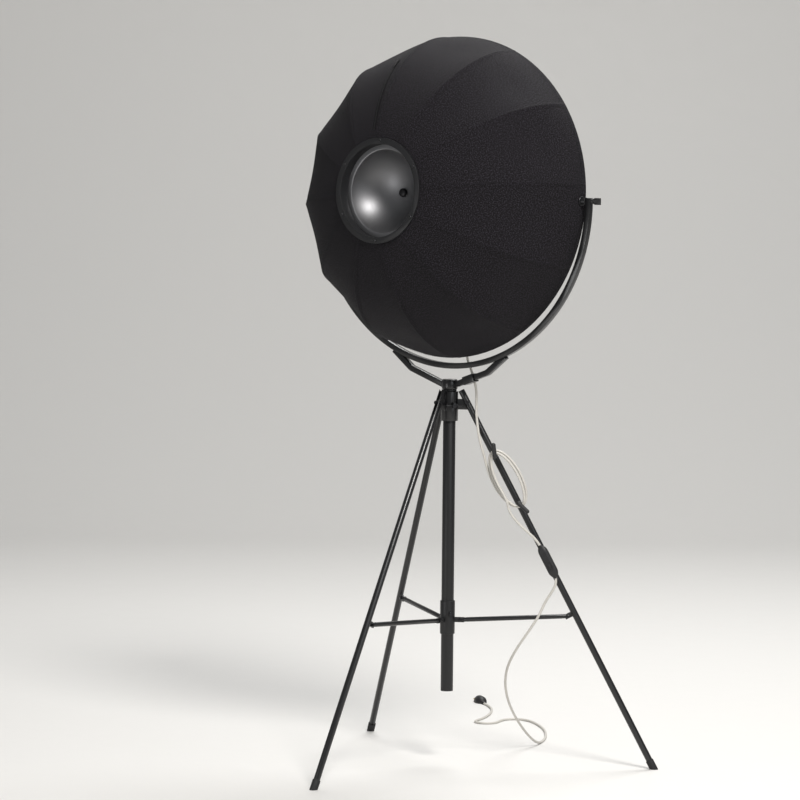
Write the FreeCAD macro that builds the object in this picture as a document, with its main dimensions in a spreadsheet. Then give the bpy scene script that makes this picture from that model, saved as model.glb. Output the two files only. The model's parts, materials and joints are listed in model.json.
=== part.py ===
import FreeCAD, Part
import math
import os
import re
import Sketcher
from FreeCAD import Vector, Placement, Rotation

# Tripod spotlight floor lamp, millimetres. Origin: on the floor, on the column's axis.
# +Z is up, the lamp's open front faces -Y and the tilt axis runs along X.

doc = FreeCAD.newDocument("TripodSpotlight")
sheet = doc.addObject("Spreadsheet::Sheet", "Sizes")

SIZES = [
    # the head
    ("headPivotHeight", 1457, "tilt axis above the floor"),
    ("headTilt", 4, "how far the open front looks down, degrees"),
    ("rimRadius", 410, "outside of the fabric at the rim"),
    ("rimRod", 8, "diameter of the rim hoop"),
    ("rimLead", 14, "rim hoop ahead of the tilt axis"),
    ("glandInset", 28, "lower end of the cord gland inside the rim"),
    ("domeDepth", 332, "depth of the dome's elliptic profile"),
    ("ringSetback", 314, "rear ring behind the rim hoop"),
    ("fabricThick", 1.2, "outer fabric"),
    ("liningThick", 0.8, "inner fabric"),
    ("ribCount", 12, "ribs round the dome"),
    ("ribTurn", 6, "first rib, from the tilt axis, degrees"),
    ("zipTurn", 281, "zip, from the tilt axis, degrees"),
    ("ribRod", 5, "diameter of a rib"),
    ("hemGap", 0.8, "play of the hoop and ribs inside the fabric"),
    ("slack", 0.3, "clearance between pieces that only touch"),
    ("hubRingOuter", 132, "rear ring, outside radius"),
    ("hubRingInner", 117, "rear ring, opening radius"),
    ("hubRingPlate", 5, "rear ring, flange thickness"),
    ("hubRingWall", 3, "rear ring, wall of its collar"),
    ("hubRingRecess", 28, "rear ring, depth of its collar"),
    ("clampPlate", 4, "clamp ring thickness"),
    ("ringScrewCount", 6, "screws through the rear ring"),
    ("ringScrewCircle", 125.5, "radius of the screw circle"),
    ("ringScrewShank", 2, "screw shank radius"),
    ("ringScrewHead", 4, "screw head radius"),
    ("ringScrewHeadHigh", 2.4, "screw head height"),
    ("bowlOpening", 106, "bowl opening radius"),
    ("bowlDepth", 80, "bowl depth"),
    ("bowlThick", 1.5, "bowl sheet"),
    ("studRadius", 11, "cap nut on the bowl"),
    ("studHeight", 9, "cap nut height"),
    ("holderRadius", 21, "lampholder radius"),
    ("holderLength", 54, "lampholder length"),
    ("holderFlange", 30, "lampholder base plate radius"),
    ("holderFlangeThick", 3, "lampholder base plate thickness"),
    ("bulbRadius", 42, "bulb globe radius"),
    ("bulbWall", 1.4, "bulb globe wall"),
    ("bulbNeck", 13, "bulb neck radius"),
    ("bulbReach", 92, "globe's centre in front of the holder's mouth"),
    # the tilt pivots
    ("pivotBoss", 8, "pivot boss radius"),
    ("pivotPlateWide", 18, "height of the plate that carries a boss"),
    ("pivotPlateLong", 40, "length of that plate along the head"),
    ("pivotPlateGap", 5.2, "that plate inside the rim hoop"),
    ("pivotPlateThick", 4, "thickness of that plate"),
    ("pivotBore", 3.1, "hole of a pivot boss"),
    ("washerRadius", 9, "pivot washer radius"),
    ("washerThick", 2.2, "pivot washer thickness"),
    ("thumbShank", 3, "thumb screw shank radius"),
    ("thumbCollar", 7, "thumb screw collar radius"),
    ("thumbCollarLong", 7, "thumb screw collar length"),
    ("thumbWingLong", 18, "thumb screw wing length"),
    ("thumbWingHigh", 17, "thumb screw wing height"),
    ("thumbWingThick", 4, "thumb screw wing thickness"),
    # the yoke and its wishbone
    ("yokeRadius", 431, "yoke bar's centre line"),
    ("yokeBar", 14.5, "square yoke bar"),
    ("yokeRise", 8, "yoke ends above the tilt axis"),
    ("armBar", 15, "square bar of a wishbone arm"),
    ("armSpread", 172, "arms meet the yoke this far from its middle"),
    ("armKneeOut", 122, "bend of an arm, from the axis"),
    ("armKneeDrop", 443, "bend of an arm, below the tilt axis"),
    ("armBend", 30, "radius of that bend"),
    ("armRootDrop", 481, "arms' root below the tilt axis"),
    ("swivelRadius", 20, "swivel hub radius"),
    ("swivelHigh", 21, "swivel hub height"),
    ("swivelBore", 8.1, "swivel hub bore radius"),
    ("swivelCapHigh", 4, "cap plate over the swivel hub"),
    ("cordClipOut", 66, "cord clip on the right arm, from the axis"),
    ("cordClipLong", 34, "cord clip along the arm"),
    ("cordClipWall", 3, "cord clip wall"),
    # the mast and the column
    ("mastRadius", 12.5, "mast tube"),
    ("mastWall", 1.5, "mast tube wall"),
    ("mastLength", 520, "mast tube length"),
    ("stopRing", 18, "stop ring radius"),
    ("stopRingHigh", 5, "stop ring height"),
    ("spigotRadius", 8, "swivel spigot radius"),
    ("glideHigh", 30, "glide at the mast's lower end"),
    ("runFit", 0.08, "running clearance"),
    ("columnRadius", 16, "column tube"),
    ("columnWall", 1.5, "column tube wall"),
    ("columnBottom", 190, "column's lower end"),
    ("columnPlugLong", 20, "plug in the column's lower end"),
    ("columnPlugLip", 3, "rim of that plug"),
    ("hubTop", 960, "top of the tripod hub"),
    ("hubHigh", 75, "height of the tripod hub"),
    ("hubRadius", 22, "tripod hub radius"),
    ("hubSocket", 20, "how deep the column sits in the hub"),
    ("hubLugReach", 51, "hub lugs from the axis"),
    ("hubLugThick", 6, "hub lug thickness"),
    ("hubLugTop", 941, "top of the hub lugs"),
    ("hubLugBottom", 914, "bottom of the hub lugs"),
    # the legs
    ("legRadius", 8.25, "leg tube"),
    ("legWall", 1.5, "leg tube wall"),
    ("footRadius", 537, "where a leg's axis meets the floor"),
    ("legTopRadius", 36, "leg axis from the column's axis, at the height below"),
    ("legTopHeight", 952, "that height"),
    ("legEndRadius", 30, "a leg tube ends here"),
    ("legBoltRadius", 46, "bolt of a leg, from the column's axis"),
    ("legSlotLong", 69, "slot over the hub lug"),
    ("boltRadius", 3, "leg bolt shank"),
    ("boltHead", 5, "leg bolt head radius"),
    ("boltHeadHigh", 2.5, "leg bolt head height"),
    ("footCapRadius", 10, "foot cap radius"),
    ("footCapLong", 26, "foot cap length"),
    ("footCapFloor", 7, "foot cap below the end of the tube"),
    # the braces and their sleeve
    ("sleeveRadius", 19, "brace sleeve"),
    ("sleeveBottom", 335, "sleeve's lower end"),
    ("sleeveHigh", 86, "sleeve height"),
    ("braceRadius", 6, "brace tube"),
    ("braceWall", 1.2, "brace tube wall"),
    ("braceRootRadius", 37, "inner brace bolt, from the axis"),
    ("braceRootHeight", 372, "inner brace bolt height"),
    ("braceLugHeight", 398, "leg axis height at the brace lug"),
    ("braceLugDrop", 20, "outer brace bolt from the leg's axis"),
    ("braceEnd", 5.5, "brace past its bolts"),
    ("braceSlotLong", 20, "slot in a brace's end"),
    ("braceLugThick", 5, "brace lug thickness"),
    ("braceLugWide", 13, "brace lug width"),
    ("braceBolt", 2.5, "brace bolt shank"),
    ("braceBoltHead", 4.2, "brace bolt head radius"),
    ("setScrewHeight", 388, "set screw of the sleeve"),
    ("setScrewShank", 3, "set screw shank radius"),
    ("setScrewHead", 5, "set screw head radius"),
    # the height clamp
    ("clampHeight", 926, "clamp screw height"),
    ("clampAngle", 150, "clamp screw direction seen from above, degrees"),
    ("clampShank", 3.4, "clamp screw shank radius"),
    ("clampHead", 6, "clamp screw head radius"),
    ("clampHeadLong", 12, "clamp screw head length"),
    ("tommyRadius", 1.8, "tommy bar radius"),
    ("tommyLong", 44, "tommy bar length"),
    # the cleat hooks on the leg that carries the cord
    ("hookRadius", 5.5, "hook finger radius"),
    ("hookStem", 4, "hook stem radius"),
    ("hookUpperAlong", 899, "upper hook along its leg, from the floor"),
    ("hookLowerAlong", 765, "lower hook along its leg, from the floor"),
    ("hookFinger", 30, "hook finger length"),
    ("hookLean", 20, "lean of the fingers away from the leg, degrees"),
    ("hookReach", 35, "hook stem from the leg's axis"),
    ("hookOut", 9, "hook stem outward of the leg's axis"),
    # the cord
    ("cordRadius", 3.25, "mains cord"),
    ("hankTurns", 2, "turns of the hank"),
    ("hankHalfLong", 76, "hank half length"),
    ("hankHalfWide", 36, "hank half width"),
    ("hankOut", 5, "hank's middle outward of the leg's axis"),
    ("hankNear", 12, "hank's first turn in front of the leg's axis"),
    ("hankPitch", 7.6, "step from turn to turn"),
    # the dimmer and the plug
    ("dimmerLong", 84, "dimmer housing length"),
    ("dimmerWide", 25, "dimmer housing width"),
    ("dimmerThick", 22, "dimmer housing thickness"),
    ("dimmerAlong", 598, "dimmer's middle along its leg, from the floor"),
    ("dimmerOut", 2.5, "dimmer's middle outward of the leg's axis"),
    ("dimmerWall", 2.2, "dimmer housing wall"),
    ("dimmerCorner", 6, "dimmer housing corner radius"),
    ("dimmerSlotLong", 40, "slot of the slider"),
    ("dimmerSlotWide", 7, "width of that slot"),
    ("sliderLong", 14, "slider length"),
    ("sliderTravel", 24, "slider travel"),
    ("plugRadius", 18, "plug body radius"),
    ("plugLong", 36, "plug body length"),
    ("plugTail", 16, "plug tail length"),
    ("pinRadius", 2.4, "plug pin radius"),
    ("pinLong", 19, "plug pin length"),
    ("pinSpacing", 19, "distance between the pins"),
]

for row, (alias, value, note) in enumerate(SIZES, 1):
    sheet.set("A%d" % row, note)
    sheet.set("B%d" % row, str(value))
    sheet.setAlias("B%d" % row, alias)
doc.recompute()

aliases = {alias for alias, value, note in SIZES}
pieces = []


def formula(text):
    """Point every size's name in a formula at its cell."""
    return re.sub(r"[A-Za-z]\w*", lambda m: ("Sizes." if m.group(0) in aliases else "") + m.group(0),
                  str(text))


def size(alias):
    return float(sheet.get(alias))


def bind(thing, **formulas):
    for prop, text in formulas.items():
        thing.setExpression(prop, formula(text))
    return thing


def seat(thing, x=0, y=0, z=0, yaw=0, pitch=0, roll=0):
    """Place a thing by formulas: turned by roll, pitch and yaw, then moved."""
    text = "placement(vector(%s; %s; %s); rotation(%s; %s; %s))" % (x, y, z, yaw, pitch, roll)
    thing.setExpression("Placement", formula(text))
    return thing


def new(kind, name):
    return doc.addObject(kind, name)


def rod(name, radius, length):
    return bind(new("Part::Cylinder", name), Radius=radius, Height=length)


def block(name, x, y, z):
    """A box centred on its X and Y, standing on its Z = 0."""
    box = bind(new("Part::Box", name), Length=x, Width=y, Height=z)
    return seat(box, "-(%s)/2" % x, "-(%s)/2" % y)


def cut(name, base, tool):
    result = new("Part::Cut", name)
    result.Base = base
    result.Tool = tool
    return result


def fuse(name, things):
    result = new("Part::MultiFuse", name)
    result.Shapes = things
    return result


def group(name, things):
    result = new("Part::Compound", name)
    result.Links = things
    return result


def shaped(name, shape):
    result = new("Part::Feature", name)
    result.Shape = shape
    return result


def keep(thing, node):
    """Name a finished piece after its node."""
    thing.Label = node
    pieces.append(thing)
    return thing


def turned(name, outline):
    """A body turned about its own Z axis from corners given as (radius, height) formulas."""
    body = new("PartDesign::Body", name)
    sketch = body.newObject("Sketcher::SketchObject", name + "Outline")
    roles = {feature.Role: feature for feature in body.Origin.OriginFeatures}
    sketch.AttachmentSupport = [(roles["XZ_Plane"], "")]
    sketch.MapMode = "FlatFace"
    count = len(outline)
    for i in range(count):
        start = Vector(10 + i, 5 + i * i, 0)
        end = Vector(11 + i, 5 + (i + 1) ** 2, 0)
        sketch.addGeometry(Part.LineSegment(start, end), False)
    for i in range(count):
        sketch.addConstraint(Sketcher.Constraint("Coincident", i, 2, (i + 1) % count, 1))
    for i, (radius, height) in enumerate(outline):
        for kind, text, axis in (("DistanceX", radius, -2), ("DistanceY", height, -1)):
            if str(text) == "0":
                sketch.addConstraint(Sketcher.Constraint("PointOnObject", i, 1, axis))
                continue
            index = sketch.addConstraint(Sketcher.Constraint(kind, -1, 1, i, 1, 1.0 + i))
            sketch.setExpression("Constraints[%d]" % index, formula(text))
    turn = body.newObject("PartDesign::Revolution", name + "Turn")
    turn.Profile = sketch
    turn.ReferenceAxis = (roles["Z_Axis"], [""])
    turn.Angle = 360
    return body


def tube(name, radius, wall, length):
    """A tube along Z from its own origin."""
    return turned(name, [("%s-%s" % (radius, wall), "0"), (radius, "0"),
                         (radius, length), ("%s-%s" % (radius, wall), length)])


# ---------------------------------------------------------------- the head
# Head frame: +Z points out of the dome's back, +Y down and X along the tilt axis.

def seatHead(thing):
    return seat(thing, 0, 0, "headPivotHeight", 0, 0, "headTilt-90")


headPlace = Placement(Vector(0, 0, size("headPivotHeight")), Rotation(0, 0, size("headTilt") - 90))
rimPlane = -size("rimLead")


def domeRadius(depth, inset):
    """Radius of the dome's profile, drawn in by inset, at a depth behind the rim."""
    share = min(depth / (size("domeDepth") - inset), 1)
    return (size("rimRadius") - inset) * math.sqrt(1 - share ** 2)


def domeRing(depth, radius, roundness):
    """A closed ring with a corner on each rib; between ribs it is straight, or round if roundness is 1."""
    count = int(size("ribCount"))
    step = 2 * math.pi / count
    first = math.radians(size("ribTurn"))
    edges = []
    for i in range(count):
        reach = radius * (math.cos(step / 2) * (1 - roundness) + roundness)
        spots = [(r, first + share * step) for r, share in ((radius, i), (reach, i + 0.5), (radius, i + 1))]
        start, middle, end = [Vector(r * math.cos(a), r * math.sin(a), rimPlane + depth) for r, a in spots]
        if roundness > 0:
            edges.append(Part.Arc(start, middle, end).toShape())
        else:
            edges.append(Part.LineSegment(start, end).toShape())
    return Part.Wire(edges)


def domeStations(stop):
    """Depths of the dome's rings from the rim to stop, closer together towards the rear."""
    bands = 15
    last = math.asin(size("ringSetback") / size("domeDepth"))
    return [stop * math.sin(last * i / bands) / math.sin(last) for i in range(bands + 1)]


def domeShell(name, inset, thick, start, collarRadius):
    """A gored shell from the rim to a flat collar under the rear ring, drawn in by inset."""
    end = size("ringSetback") - inset
    skins = []
    for drawn, stop in ((inset, end), (inset + thick, end - thick)):
        rings = [domeRing(start, domeRadius(max(start, 0), drawn), 1)]
        for i, depth in enumerate(domeStations(stop)):
            if depth > start + 1:
                roundness = max(0, 1 - i / 4.0)
                rings.append(domeRing(depth, domeRadius(depth, drawn), roundness))
        rings.append(domeRing(stop, collarRadius, 1))
        skins.append(rings)
    bands = [Part.makeRuledSurface(a, b) for rings in skins for a, b in zip(rings, rings[1:])]
    bands += [Part.makeRuledSurface(skins[0][i], skins[1][i]) for i in (0, -1)]
    shell = Part.makeShell([face for band in bands for face in band.Faces])
    shell.sewShape()
    solid = Part.makeSolid(shell)
    if solid.Volume < 0:
        solid.reverse()
    return shaped(name, solid)


def sideBar(name, radius):
    bar = rod(name, radius, "2*yokeRadius")
    return seat(bar, "-yokeRadius", 0, 0, 0, 90, 0)


def screwCircle(name, radius, length, start):
    """Rods on the screw circle of the rear ring, along the head's axis."""
    rods = []
    count = int(size("ringScrewCount"))
    for i in range(count):
        angle = "%d*360/ringScrewCount+90" % i
        pin = rod("%s%d" % (name, i), radius, length)
        seat(pin, "ringScrewCircle*cos(%s)" % angle, "ringScrewCircle*sin(%s)" % angle, start)
        rods.append(pin)
    return rods


ringFace = "ringSetback-rimLead+slack"

hoop = new("Part::Torus", "rimHoopTorus")
bind(hoop, Radius1="rimRadius-fabricThick-hemGap-rimRod/2", Radius2="rimRod/2")
seat(hoop, 0, 0, "-rimLead")
keep(seatHead(group("rimHoopGroup", [hoop])), "rim_hoop")

collarEdge = size("hubRingInner") + size("hubRingWall") + 1.3
fabric = domeShell("fabricShell", 0, size("fabricThick"), -size("rimRod") / 2, collarEdge)
fabricCuts = fuse("fabricCuts", [sideBar("fabricPivotHoles", "pivotBoss+slack")]
                  + screwCircle("fabricScrewHole", "ringScrewShank+slack", 30, "ringSetback-rimLead-15"))
keep(seatHead(cut("fabricCut", fabric, fabricCuts)), "dome_fabric")

liningInset = size("fabricThick") + size("ribRod") + 2 * size("hemGap")
liningStart = size("rimRod") / 2 + size("slack")
lining = domeShell("liningShell", liningInset, size("liningThick"), liningStart, collarEdge)
keep(seatHead(cut("liningCut", lining, sideBar("liningPivotHoles", "pivotBoss+slack"))), "dome_lining")


def makeRibs():
    """One rib bent to the dome's profile, repeated round the head."""
    inset = size("fabricThick") + size("hemGap") + size("ribRod") / 2
    a = size("rimRadius") - inset
    b = size("domeDepth") - inset
    endRadius = size("hubRingOuter") + size("slack")
    startDepth = size("rimRod") / 2 + size("slack")
    startAngle = math.asin(startDepth / b)
    endAngle = math.acos(endRadius / a)
    ellipse = Part.Ellipse(Vector(a, 0, rimPlane), Vector(0, 0, rimPlane + b), Vector(0, 0, rimPlane))
    path = Part.Wire(ellipse.toShape(startAngle, endAngle))
    start = path.Edges[0].valueAt(path.Edges[0].FirstParameter)
    along = path.Edges[0].tangentAt(path.Edges[0].FirstParameter)
    section = Part.Wire(Part.makeCircle(size("ribRod") / 2, start, along))
    rib = path.makePipeShell([section], True, False)
    count = int(size("ribCount"))
    turns = [Rotation(Vector(0, 0, 1), size("ribTurn") + 360.0 * i / count) for i in range(count)]
    ribs = [rib.transformGeometry(Placement(Vector(), turn).toMatrix()) for turn in turns]
    return shaped("ribSet", Part.makeCompound(ribs))


keep(seatHead(group("ribGroup", [makeRibs()])), "dome_ribs")


def makeZip():
    """A narrow tape that lies on one flat gore beside a rib, from the rear ring forward."""
    stand = size("slack") + 0.4
    wide = 11.0
    high = 1.6
    half = math.pi / size("ribCount")
    turn = math.radians(size("zipTurn"))
    gone = (turn - math.radians(size("ribTurn"))) // (2 * half)
    middle = math.radians(size("ribTurn")) + (2 * gone + 1) * half
    across = Vector(-math.sin(middle), math.cos(middle), 0)
    face = Vector(math.cos(middle), math.sin(middle), 0)
    rings = []
    for depth in domeStations(size("ringSetback"))[6:-1]:
        flat = domeRadius(depth, 0) * math.cos(half)
        slope = size("rimRadius") ** 2 * depth / (size("domeDepth") ** 2 * domeRadius(depth,
                                                                                      0)) * math.cos(half)
        lean = math.atan(slope)
        out = face * math.cos(lean) + Vector(0, 0, math.sin(lean))
        base = face * flat + across * (flat * math.tan(turn - middle)) + Vector(0, 0,
                                                                                rimPlane + depth) + out * stand
        side = across * (wide / 2)
        corners = [base - side, base + side, base + side + out * high, base - side + out * high]
        rings.append(Part.makePolygon(corners + corners[:1]))
    tape = Part.makeLoft(rings, True, True)
    return shaped("zipTape", tape)


keep(seatHead(group("zipGroup", [makeZip()])), "zip_tape")

hubRing = turned("hubRingTurned", [
    ("hubRingInner", "0"), ("hubRingInner+hubRingWall", "0"),
    ("hubRingInner+hubRingWall", "hubRingRecess"), ("hubRingOuter", "hubRingRecess"),
    ("hubRingOuter", "hubRingRecess+hubRingPlate"), ("hubRingInner", "hubRingRecess+hubRingPlate"),
    ("hubRingInner", "hubRingWall"), ("bowlOpening", "hubRingWall"), ("bowlOpening", "0")])
seat(hubRing, 0, 0, ringFace + "-hubRingRecess")
hubRingCuts = fuse("hubRingCuts", screwCircle("hubRingHole", "ringScrewShank+runFit", 40, ringFace + "-5"))
keep(seatHead(cut("hubRingCut", hubRing, hubRingCuts)), "hub_ring")

clampRing = turned("clampRingTurned", [
    ("hubRingInner+hubRingWall+slack", "0"), ("hubRingOuter-1", "0"),
    ("hubRingOuter-1", "clampPlate"), ("hubRingInner+hubRingWall+slack", "clampPlate")])
clampFace = "ringSetback-rimLead-fabricThick-slack-clampPlate"
seat(clampRing, 0, 0, clampFace + "-10")
clampCuts = fuse("clampCuts", screwCircle("clampHole", "ringScrewShank+runFit", 40, clampFace + "-20"))
keep(seatHead(cut("clampCut", clampRing, clampCuts)), "clamp_ring")

screwStart = clampFace + "-1"
screwShanks = screwCircle("screwShank", "ringScrewShank", "hubRingPlate+slack*2+fabricThick+clampPlate+1",
                          screwStart)
screwHeads = screwCircle("screwHead", "ringScrewHead", "ringScrewHeadHigh", ringFace + "+hubRingPlate")
screwSet = [fuse("ringScrew%d" % i,
                 [screwShanks[i], screwHeads[i]]) for i in range(int(size("ringScrewCount")))]
keep(seatHead(group("ringScrewSet", screwSet)), "ring_screws")

# The bowl hangs from the collar's lip, hollow side to the rear.
bowlSphere = "((bowlOpening^2+bowlDepth^2)/(2*bowlDepth))"
bowlSeat = ringFace + "-hubRingRecess+hubRingWall"
outerBall = bind(new("Part::Sphere", "bowlOuterBall"), Radius=bowlSphere)
innerBall = bind(new("Part::Sphere", "bowlInnerBall"), Radius=bowlSphere + "-bowlThick")
seat(outerBall, 0, 0, bowlSeat + "-bowlDepth+" + bowlSphere)
seat(innerBall, 0, 0, bowlSeat + "-bowlDepth+" + bowlSphere)
bowlShell = cut("bowlShell", outerBall, innerBall)
bowlSlice = seat(rod("bowlSlice", "bowlOpening+20", "bowlDepth+10"), 0, 0, bowlSeat + "-bowlDepth-10")
bowlCap = new("Part::Common", "bowlCap")
bowlCap.Base = bowlShell
bowlCap.Tool = bowlSlice
bowlFlange = turned("bowlFlange", [
    ("bowlOpening-bowlThick", "0"), ("hubRingInner-slack", "0"),
    ("hubRingInner-slack", "bowlThick"), ("bowlOpening-bowlThick", "bowlThick")])
seat(bowlFlange, 0, 0, bowlSeat)
bowlHole = seat(rod("bowlHole", "thumbShank+runFit", 60), 0, 0, bowlSeat + "-bowlDepth-30")
keep(seatHead(cut("bowlCut", fuse("bowlFused", [bowlCap, bowlFlange]), bowlHole)), "rear_bowl")

bowlInside = bowlSeat + "-bowlDepth+bowlThick+0.6"
stud = turned("studTurned", [
    ("0", "0"), ("studRadius", "0"), ("studRadius", "studHeight*0.55"),
    ("studRadius*0.8", "studHeight*0.85"), ("studRadius*0.4", "studHeight"), ("0", "studHeight")])
seat(stud, 0, 0, bowlInside)
studShank = seat(rod("studShank", "thumbShank", 16), 0, 0, bowlInside + "-16")
keep(seatHead(fuse("studFused", [stud, studShank])), "bowl_cap_nut")

holderFace = bowlSeat + "-bowlDepth-2"
holder = turned("holderTurned", [
    ("bulbNeck+0.6", "0"), ("holderRadius", "0"), ("holderRadius", "holderLength-holderFlangeThick-2"),
    ("holderFlange", "holderLength-holderFlangeThick"), ("holderFlange", "holderLength"),
    ("thumbShank+runFit", "holderLength"), ("thumbShank+runFit", "holderLength-14"),
    ("bulbNeck+0.6", "holderLength-14")])
seat(holder, 0, 0, holderFace + "-holderLength")
holderEye = rod("holderEye", "cordRadius+1.5", "holderRadius*2")
seat(holderEye, 0, 0, holderFace + "-holderLength/2", 0, 0, -90)
keep(seatHead(cut("holderCut", holder, holderEye)), "lampholder")

globe = bind(new("Part::Sphere", "bulbGlobe"), Radius="bulbRadius")
seat(globe, 0, 0, holderFace + "-holderLength-bulbReach+bulbRadius")
neckCone = bind(new("Part::Cone", "bulbShoulder"), Radius1="bulbRadius*0.8", Radius2="bulbNeck",
                Height="bulbReach-bulbRadius*1.6")
seat(neckCone, 0, 0, holderFace + "-holderLength-bulbReach+bulbRadius*1.6")
neckRod = seat(rod("bulbCapRod", "bulbNeck", "24"), 0, 0, holderFace + "-holderLength-0.5")
bulbHollow = bind(new("Part::Sphere", "bulbHollow"), Radius="bulbRadius-bulbWall")
seat(bulbHollow, 0, 0, holderFace + "-holderLength-bulbReach+bulbRadius")
keep(seatHead(cut("bulbCut", fuse("bulbFused", [globe, neckCone, neckRod]), bulbHollow)), "bulb")


# ---------------------------------------------------------------- the tilt pivots
bossFace = "yokeRadius-yokeBar/2-washerThick-2*slack"
plateOuter = "(rimRadius-fabricThick-hemGap-rimRod-pivotPlateGap)"


def pivotPieces(side, sign):
    """Boss plate, washer and thumb screw of one side; sign is 1 on +X and -1 on -X."""
    turn = 90 * sign
    plate = bind(new("Part::Box", side + "PlateBox"), Length="pivotPlateThick", Width="pivotPlateWide",
                 Height="pivotPlateLong")
    inner = "(%s)-pivotPlateThick" % plateOuter
    x = inner if sign > 0 else "-(%s)" % plateOuter
    seat(plate, x, "-pivotPlateWide/2", "-pivotPlateLong/2")
    boss = seat(rod(side + "BossRod", "pivotBoss", "%s-(%s)" % (bossFace, inner)),
                "%d*(%s)" % (sign, inner), 0, 0,
                0, turn, 0)
    hole = seat(rod(side + "BossHole", "pivotBore", "60"), "%d*(%s-20)" % (sign, inner), 0, 0, 0, turn, 0)
    keep(seatHead(cut(side + "BossCut", fuse(side + "BossFused", [plate, boss]), hole)), "pivot_boss_" + side)
    washerRod = rod(side + "WasherRod", "washerRadius", "washerThick")
    washerHole = rod(side + "WasherHole", "thumbShank+slack", "washerThick")
    washer = cut(side + "Washer", washerRod, washerHole)
    seat(washer, "%d*(%s+slack)" % (sign, bossFace), 0, "headPivotHeight", 0, turn, 0)
    shankLong = "yokeBar+washerThick+2*slack+22"
    yokeOuter = "(yokeRadius+yokeBar/2+slack)"
    shank = rod(side + "ThumbShank", "thumbShank", shankLong)
    seat(shank, 0, 0, "-(%s)" % shankLong)
    collar = rod(side + "ThumbCollar", "thumbCollar", "thumbCollarLong")
    neck = rod(side + "ThumbNeck", "thumbShank", "thumbCollarLong+6")
    wing = block(side + "ThumbWing", "thumbWingHigh", "thumbWingThick", "thumbWingLong")
    wing = seat(wing, "-thumbWingHigh/2", "-thumbWingThick/2", "thumbCollarLong+3")
    thumb = fuse(side + "ThumbFused", [shank, collar, neck, wing])
    seat(thumb, "%d*%s" % (sign, yokeOuter), 0, "headPivotHeight", 0, turn, 0)
    keep(thumb, "thumb_screw_" + side)
    return washer


washers = [pivotPieces("right", 1), pivotPieces("left", -1)]
keep(group("washerSet", washers), "pivot_washers")

# ---------------------------------------------------------------- the fork
yokeBody = new("PartDesign::Body", "yokeBody")
yokeSketch = yokeBody.newObject("Sketcher::SketchObject", "yokeSection")
yokeRoles = {feature.Role: feature for feature in yokeBody.Origin.OriginFeatures}
yokeSketch.AttachmentSupport = [(yokeRoles["XY_Plane"], "")]
yokeSketch.MapMode = "FlatFace"
half = size("yokeBar") / 2
middle = size("yokeRadius")
corners = [Vector(middle - half, -half, 0), Vector(middle + half, -half, 0),
           Vector(middle + half, half, 0), Vector(middle - half, half, 0)]
for i in range(4):
    yokeSketch.addGeometry(Part.LineSegment(corners[i], corners[(i + 1) % 4]), False)
for i in range(4):
    yokeSketch.addConstraint(Sketcher.Constraint("Coincident", i, 2, (i + 1) % 4, 1))
for i in (0, 2):
    yokeSketch.addConstraint(Sketcher.Constraint("Horizontal", i))
    yokeSketch.addConstraint(Sketcher.Constraint("Vertical", i + 1))
rules = [("DistanceX", 0, 1, middle - half, "yokeRadius-yokeBar/2"),
         ("DistanceX", 0, 2, middle + half, "yokeRadius+yokeBar/2"),
         ("DistanceY", 2, 1, half, "yokeBar/2")]
for kind, line, end, value, text in rules:
    index = yokeSketch.addConstraint(Sketcher.Constraint(kind, -1, 1, line, end, value))
    yokeSketch.setExpression("Constraints[%d]" % index, formula(text))
index = yokeSketch.addConstraint(Sketcher.Constraint("DistanceY", 1, 1, 1, 2, 2 * half))
yokeSketch.setExpression("Constraints[%d]" % index, formula("yokeBar"))
yokeTurn = yokeBody.newObject("PartDesign::Revolution", "yokeTurn")
yokeTurn.Profile = yokeSketch
yokeTurn.ReferenceAxis = (yokeRoles["Y_Axis"], [""])
yokeTurn.Angle = 180
doc.recompute()
if yokeBody.Shape.BoundBox.ZMax > 10:
    yokeTurn.Reversed = True
seat(yokeBody, 0, 0, "headPivotHeight")
yokeEnds = []
for side, sign in (("Right", 1), ("Left", -1)):
    end = block("yokeEnd" + side, "yokeBar", "yokeBar", "yokeRise")
    seat(end, "%d*yokeRadius-yokeBar/2" % sign, "-yokeBar/2", "headPivotHeight")
    yokeEnds.append(end)
yokeHole = seat(rod("yokeHole", "thumbShank+slack", "2*yokeRadius+60"), "-yokeRadius-30", 0,
                "headPivotHeight",
                0, 90, 0)
keep(cut("yokeCut", fuse("yokeFused", [yokeBody] + yokeEnds), yokeHole), "yoke")


def makeArm(name, sign):
    """A square bar from the swivel hub, bent upward to the underside of the yoke."""
    pivot = size("headPivotHeight")
    spread = size("armSpread")
    knee = Vector(sign * size("armKneeOut"), 0, pivot - size("armKneeDrop"))
    root = Vector(sign * (size("swivelRadius") - 6), 0, pivot - size("armRootDrop"))
    reach = size("yokeRadius") + size("yokeBar") / 2
    top = Vector(sign * spread, 0, pivot - math.sqrt(reach ** 2 - spread ** 2))
    into = (knee - root).normalize()
    out = (top - knee).normalize()
    turn = into.getAngle(out)
    trim = size("armBend") * math.tan(turn / 2)
    first = knee - into * trim
    last = knee + out * trim
    centre = (into * -1 + out).normalize()
    mid = knee + centre * (size("armBend") / math.cos(turn / 2) - size("armBend"))
    path = Part.Wire([Part.LineSegment(root, first).toShape(), Part.Arc(first, mid, last).toShape(),
                      Part.LineSegment(last, top + out * 8).toShape()])
    width = size("armBar") / 2
    across = Vector(0, 1, 0)
    up = into.cross(across)
    square = [root + across * a * width + up * b * width for a, b in ((-1, -1), (1, -1), (1, 1), (-1, 1))]
    section = Part.makePolygon(square + square[:1])
    return shaped(name, path.makePipeShell([section], True, False))


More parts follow.
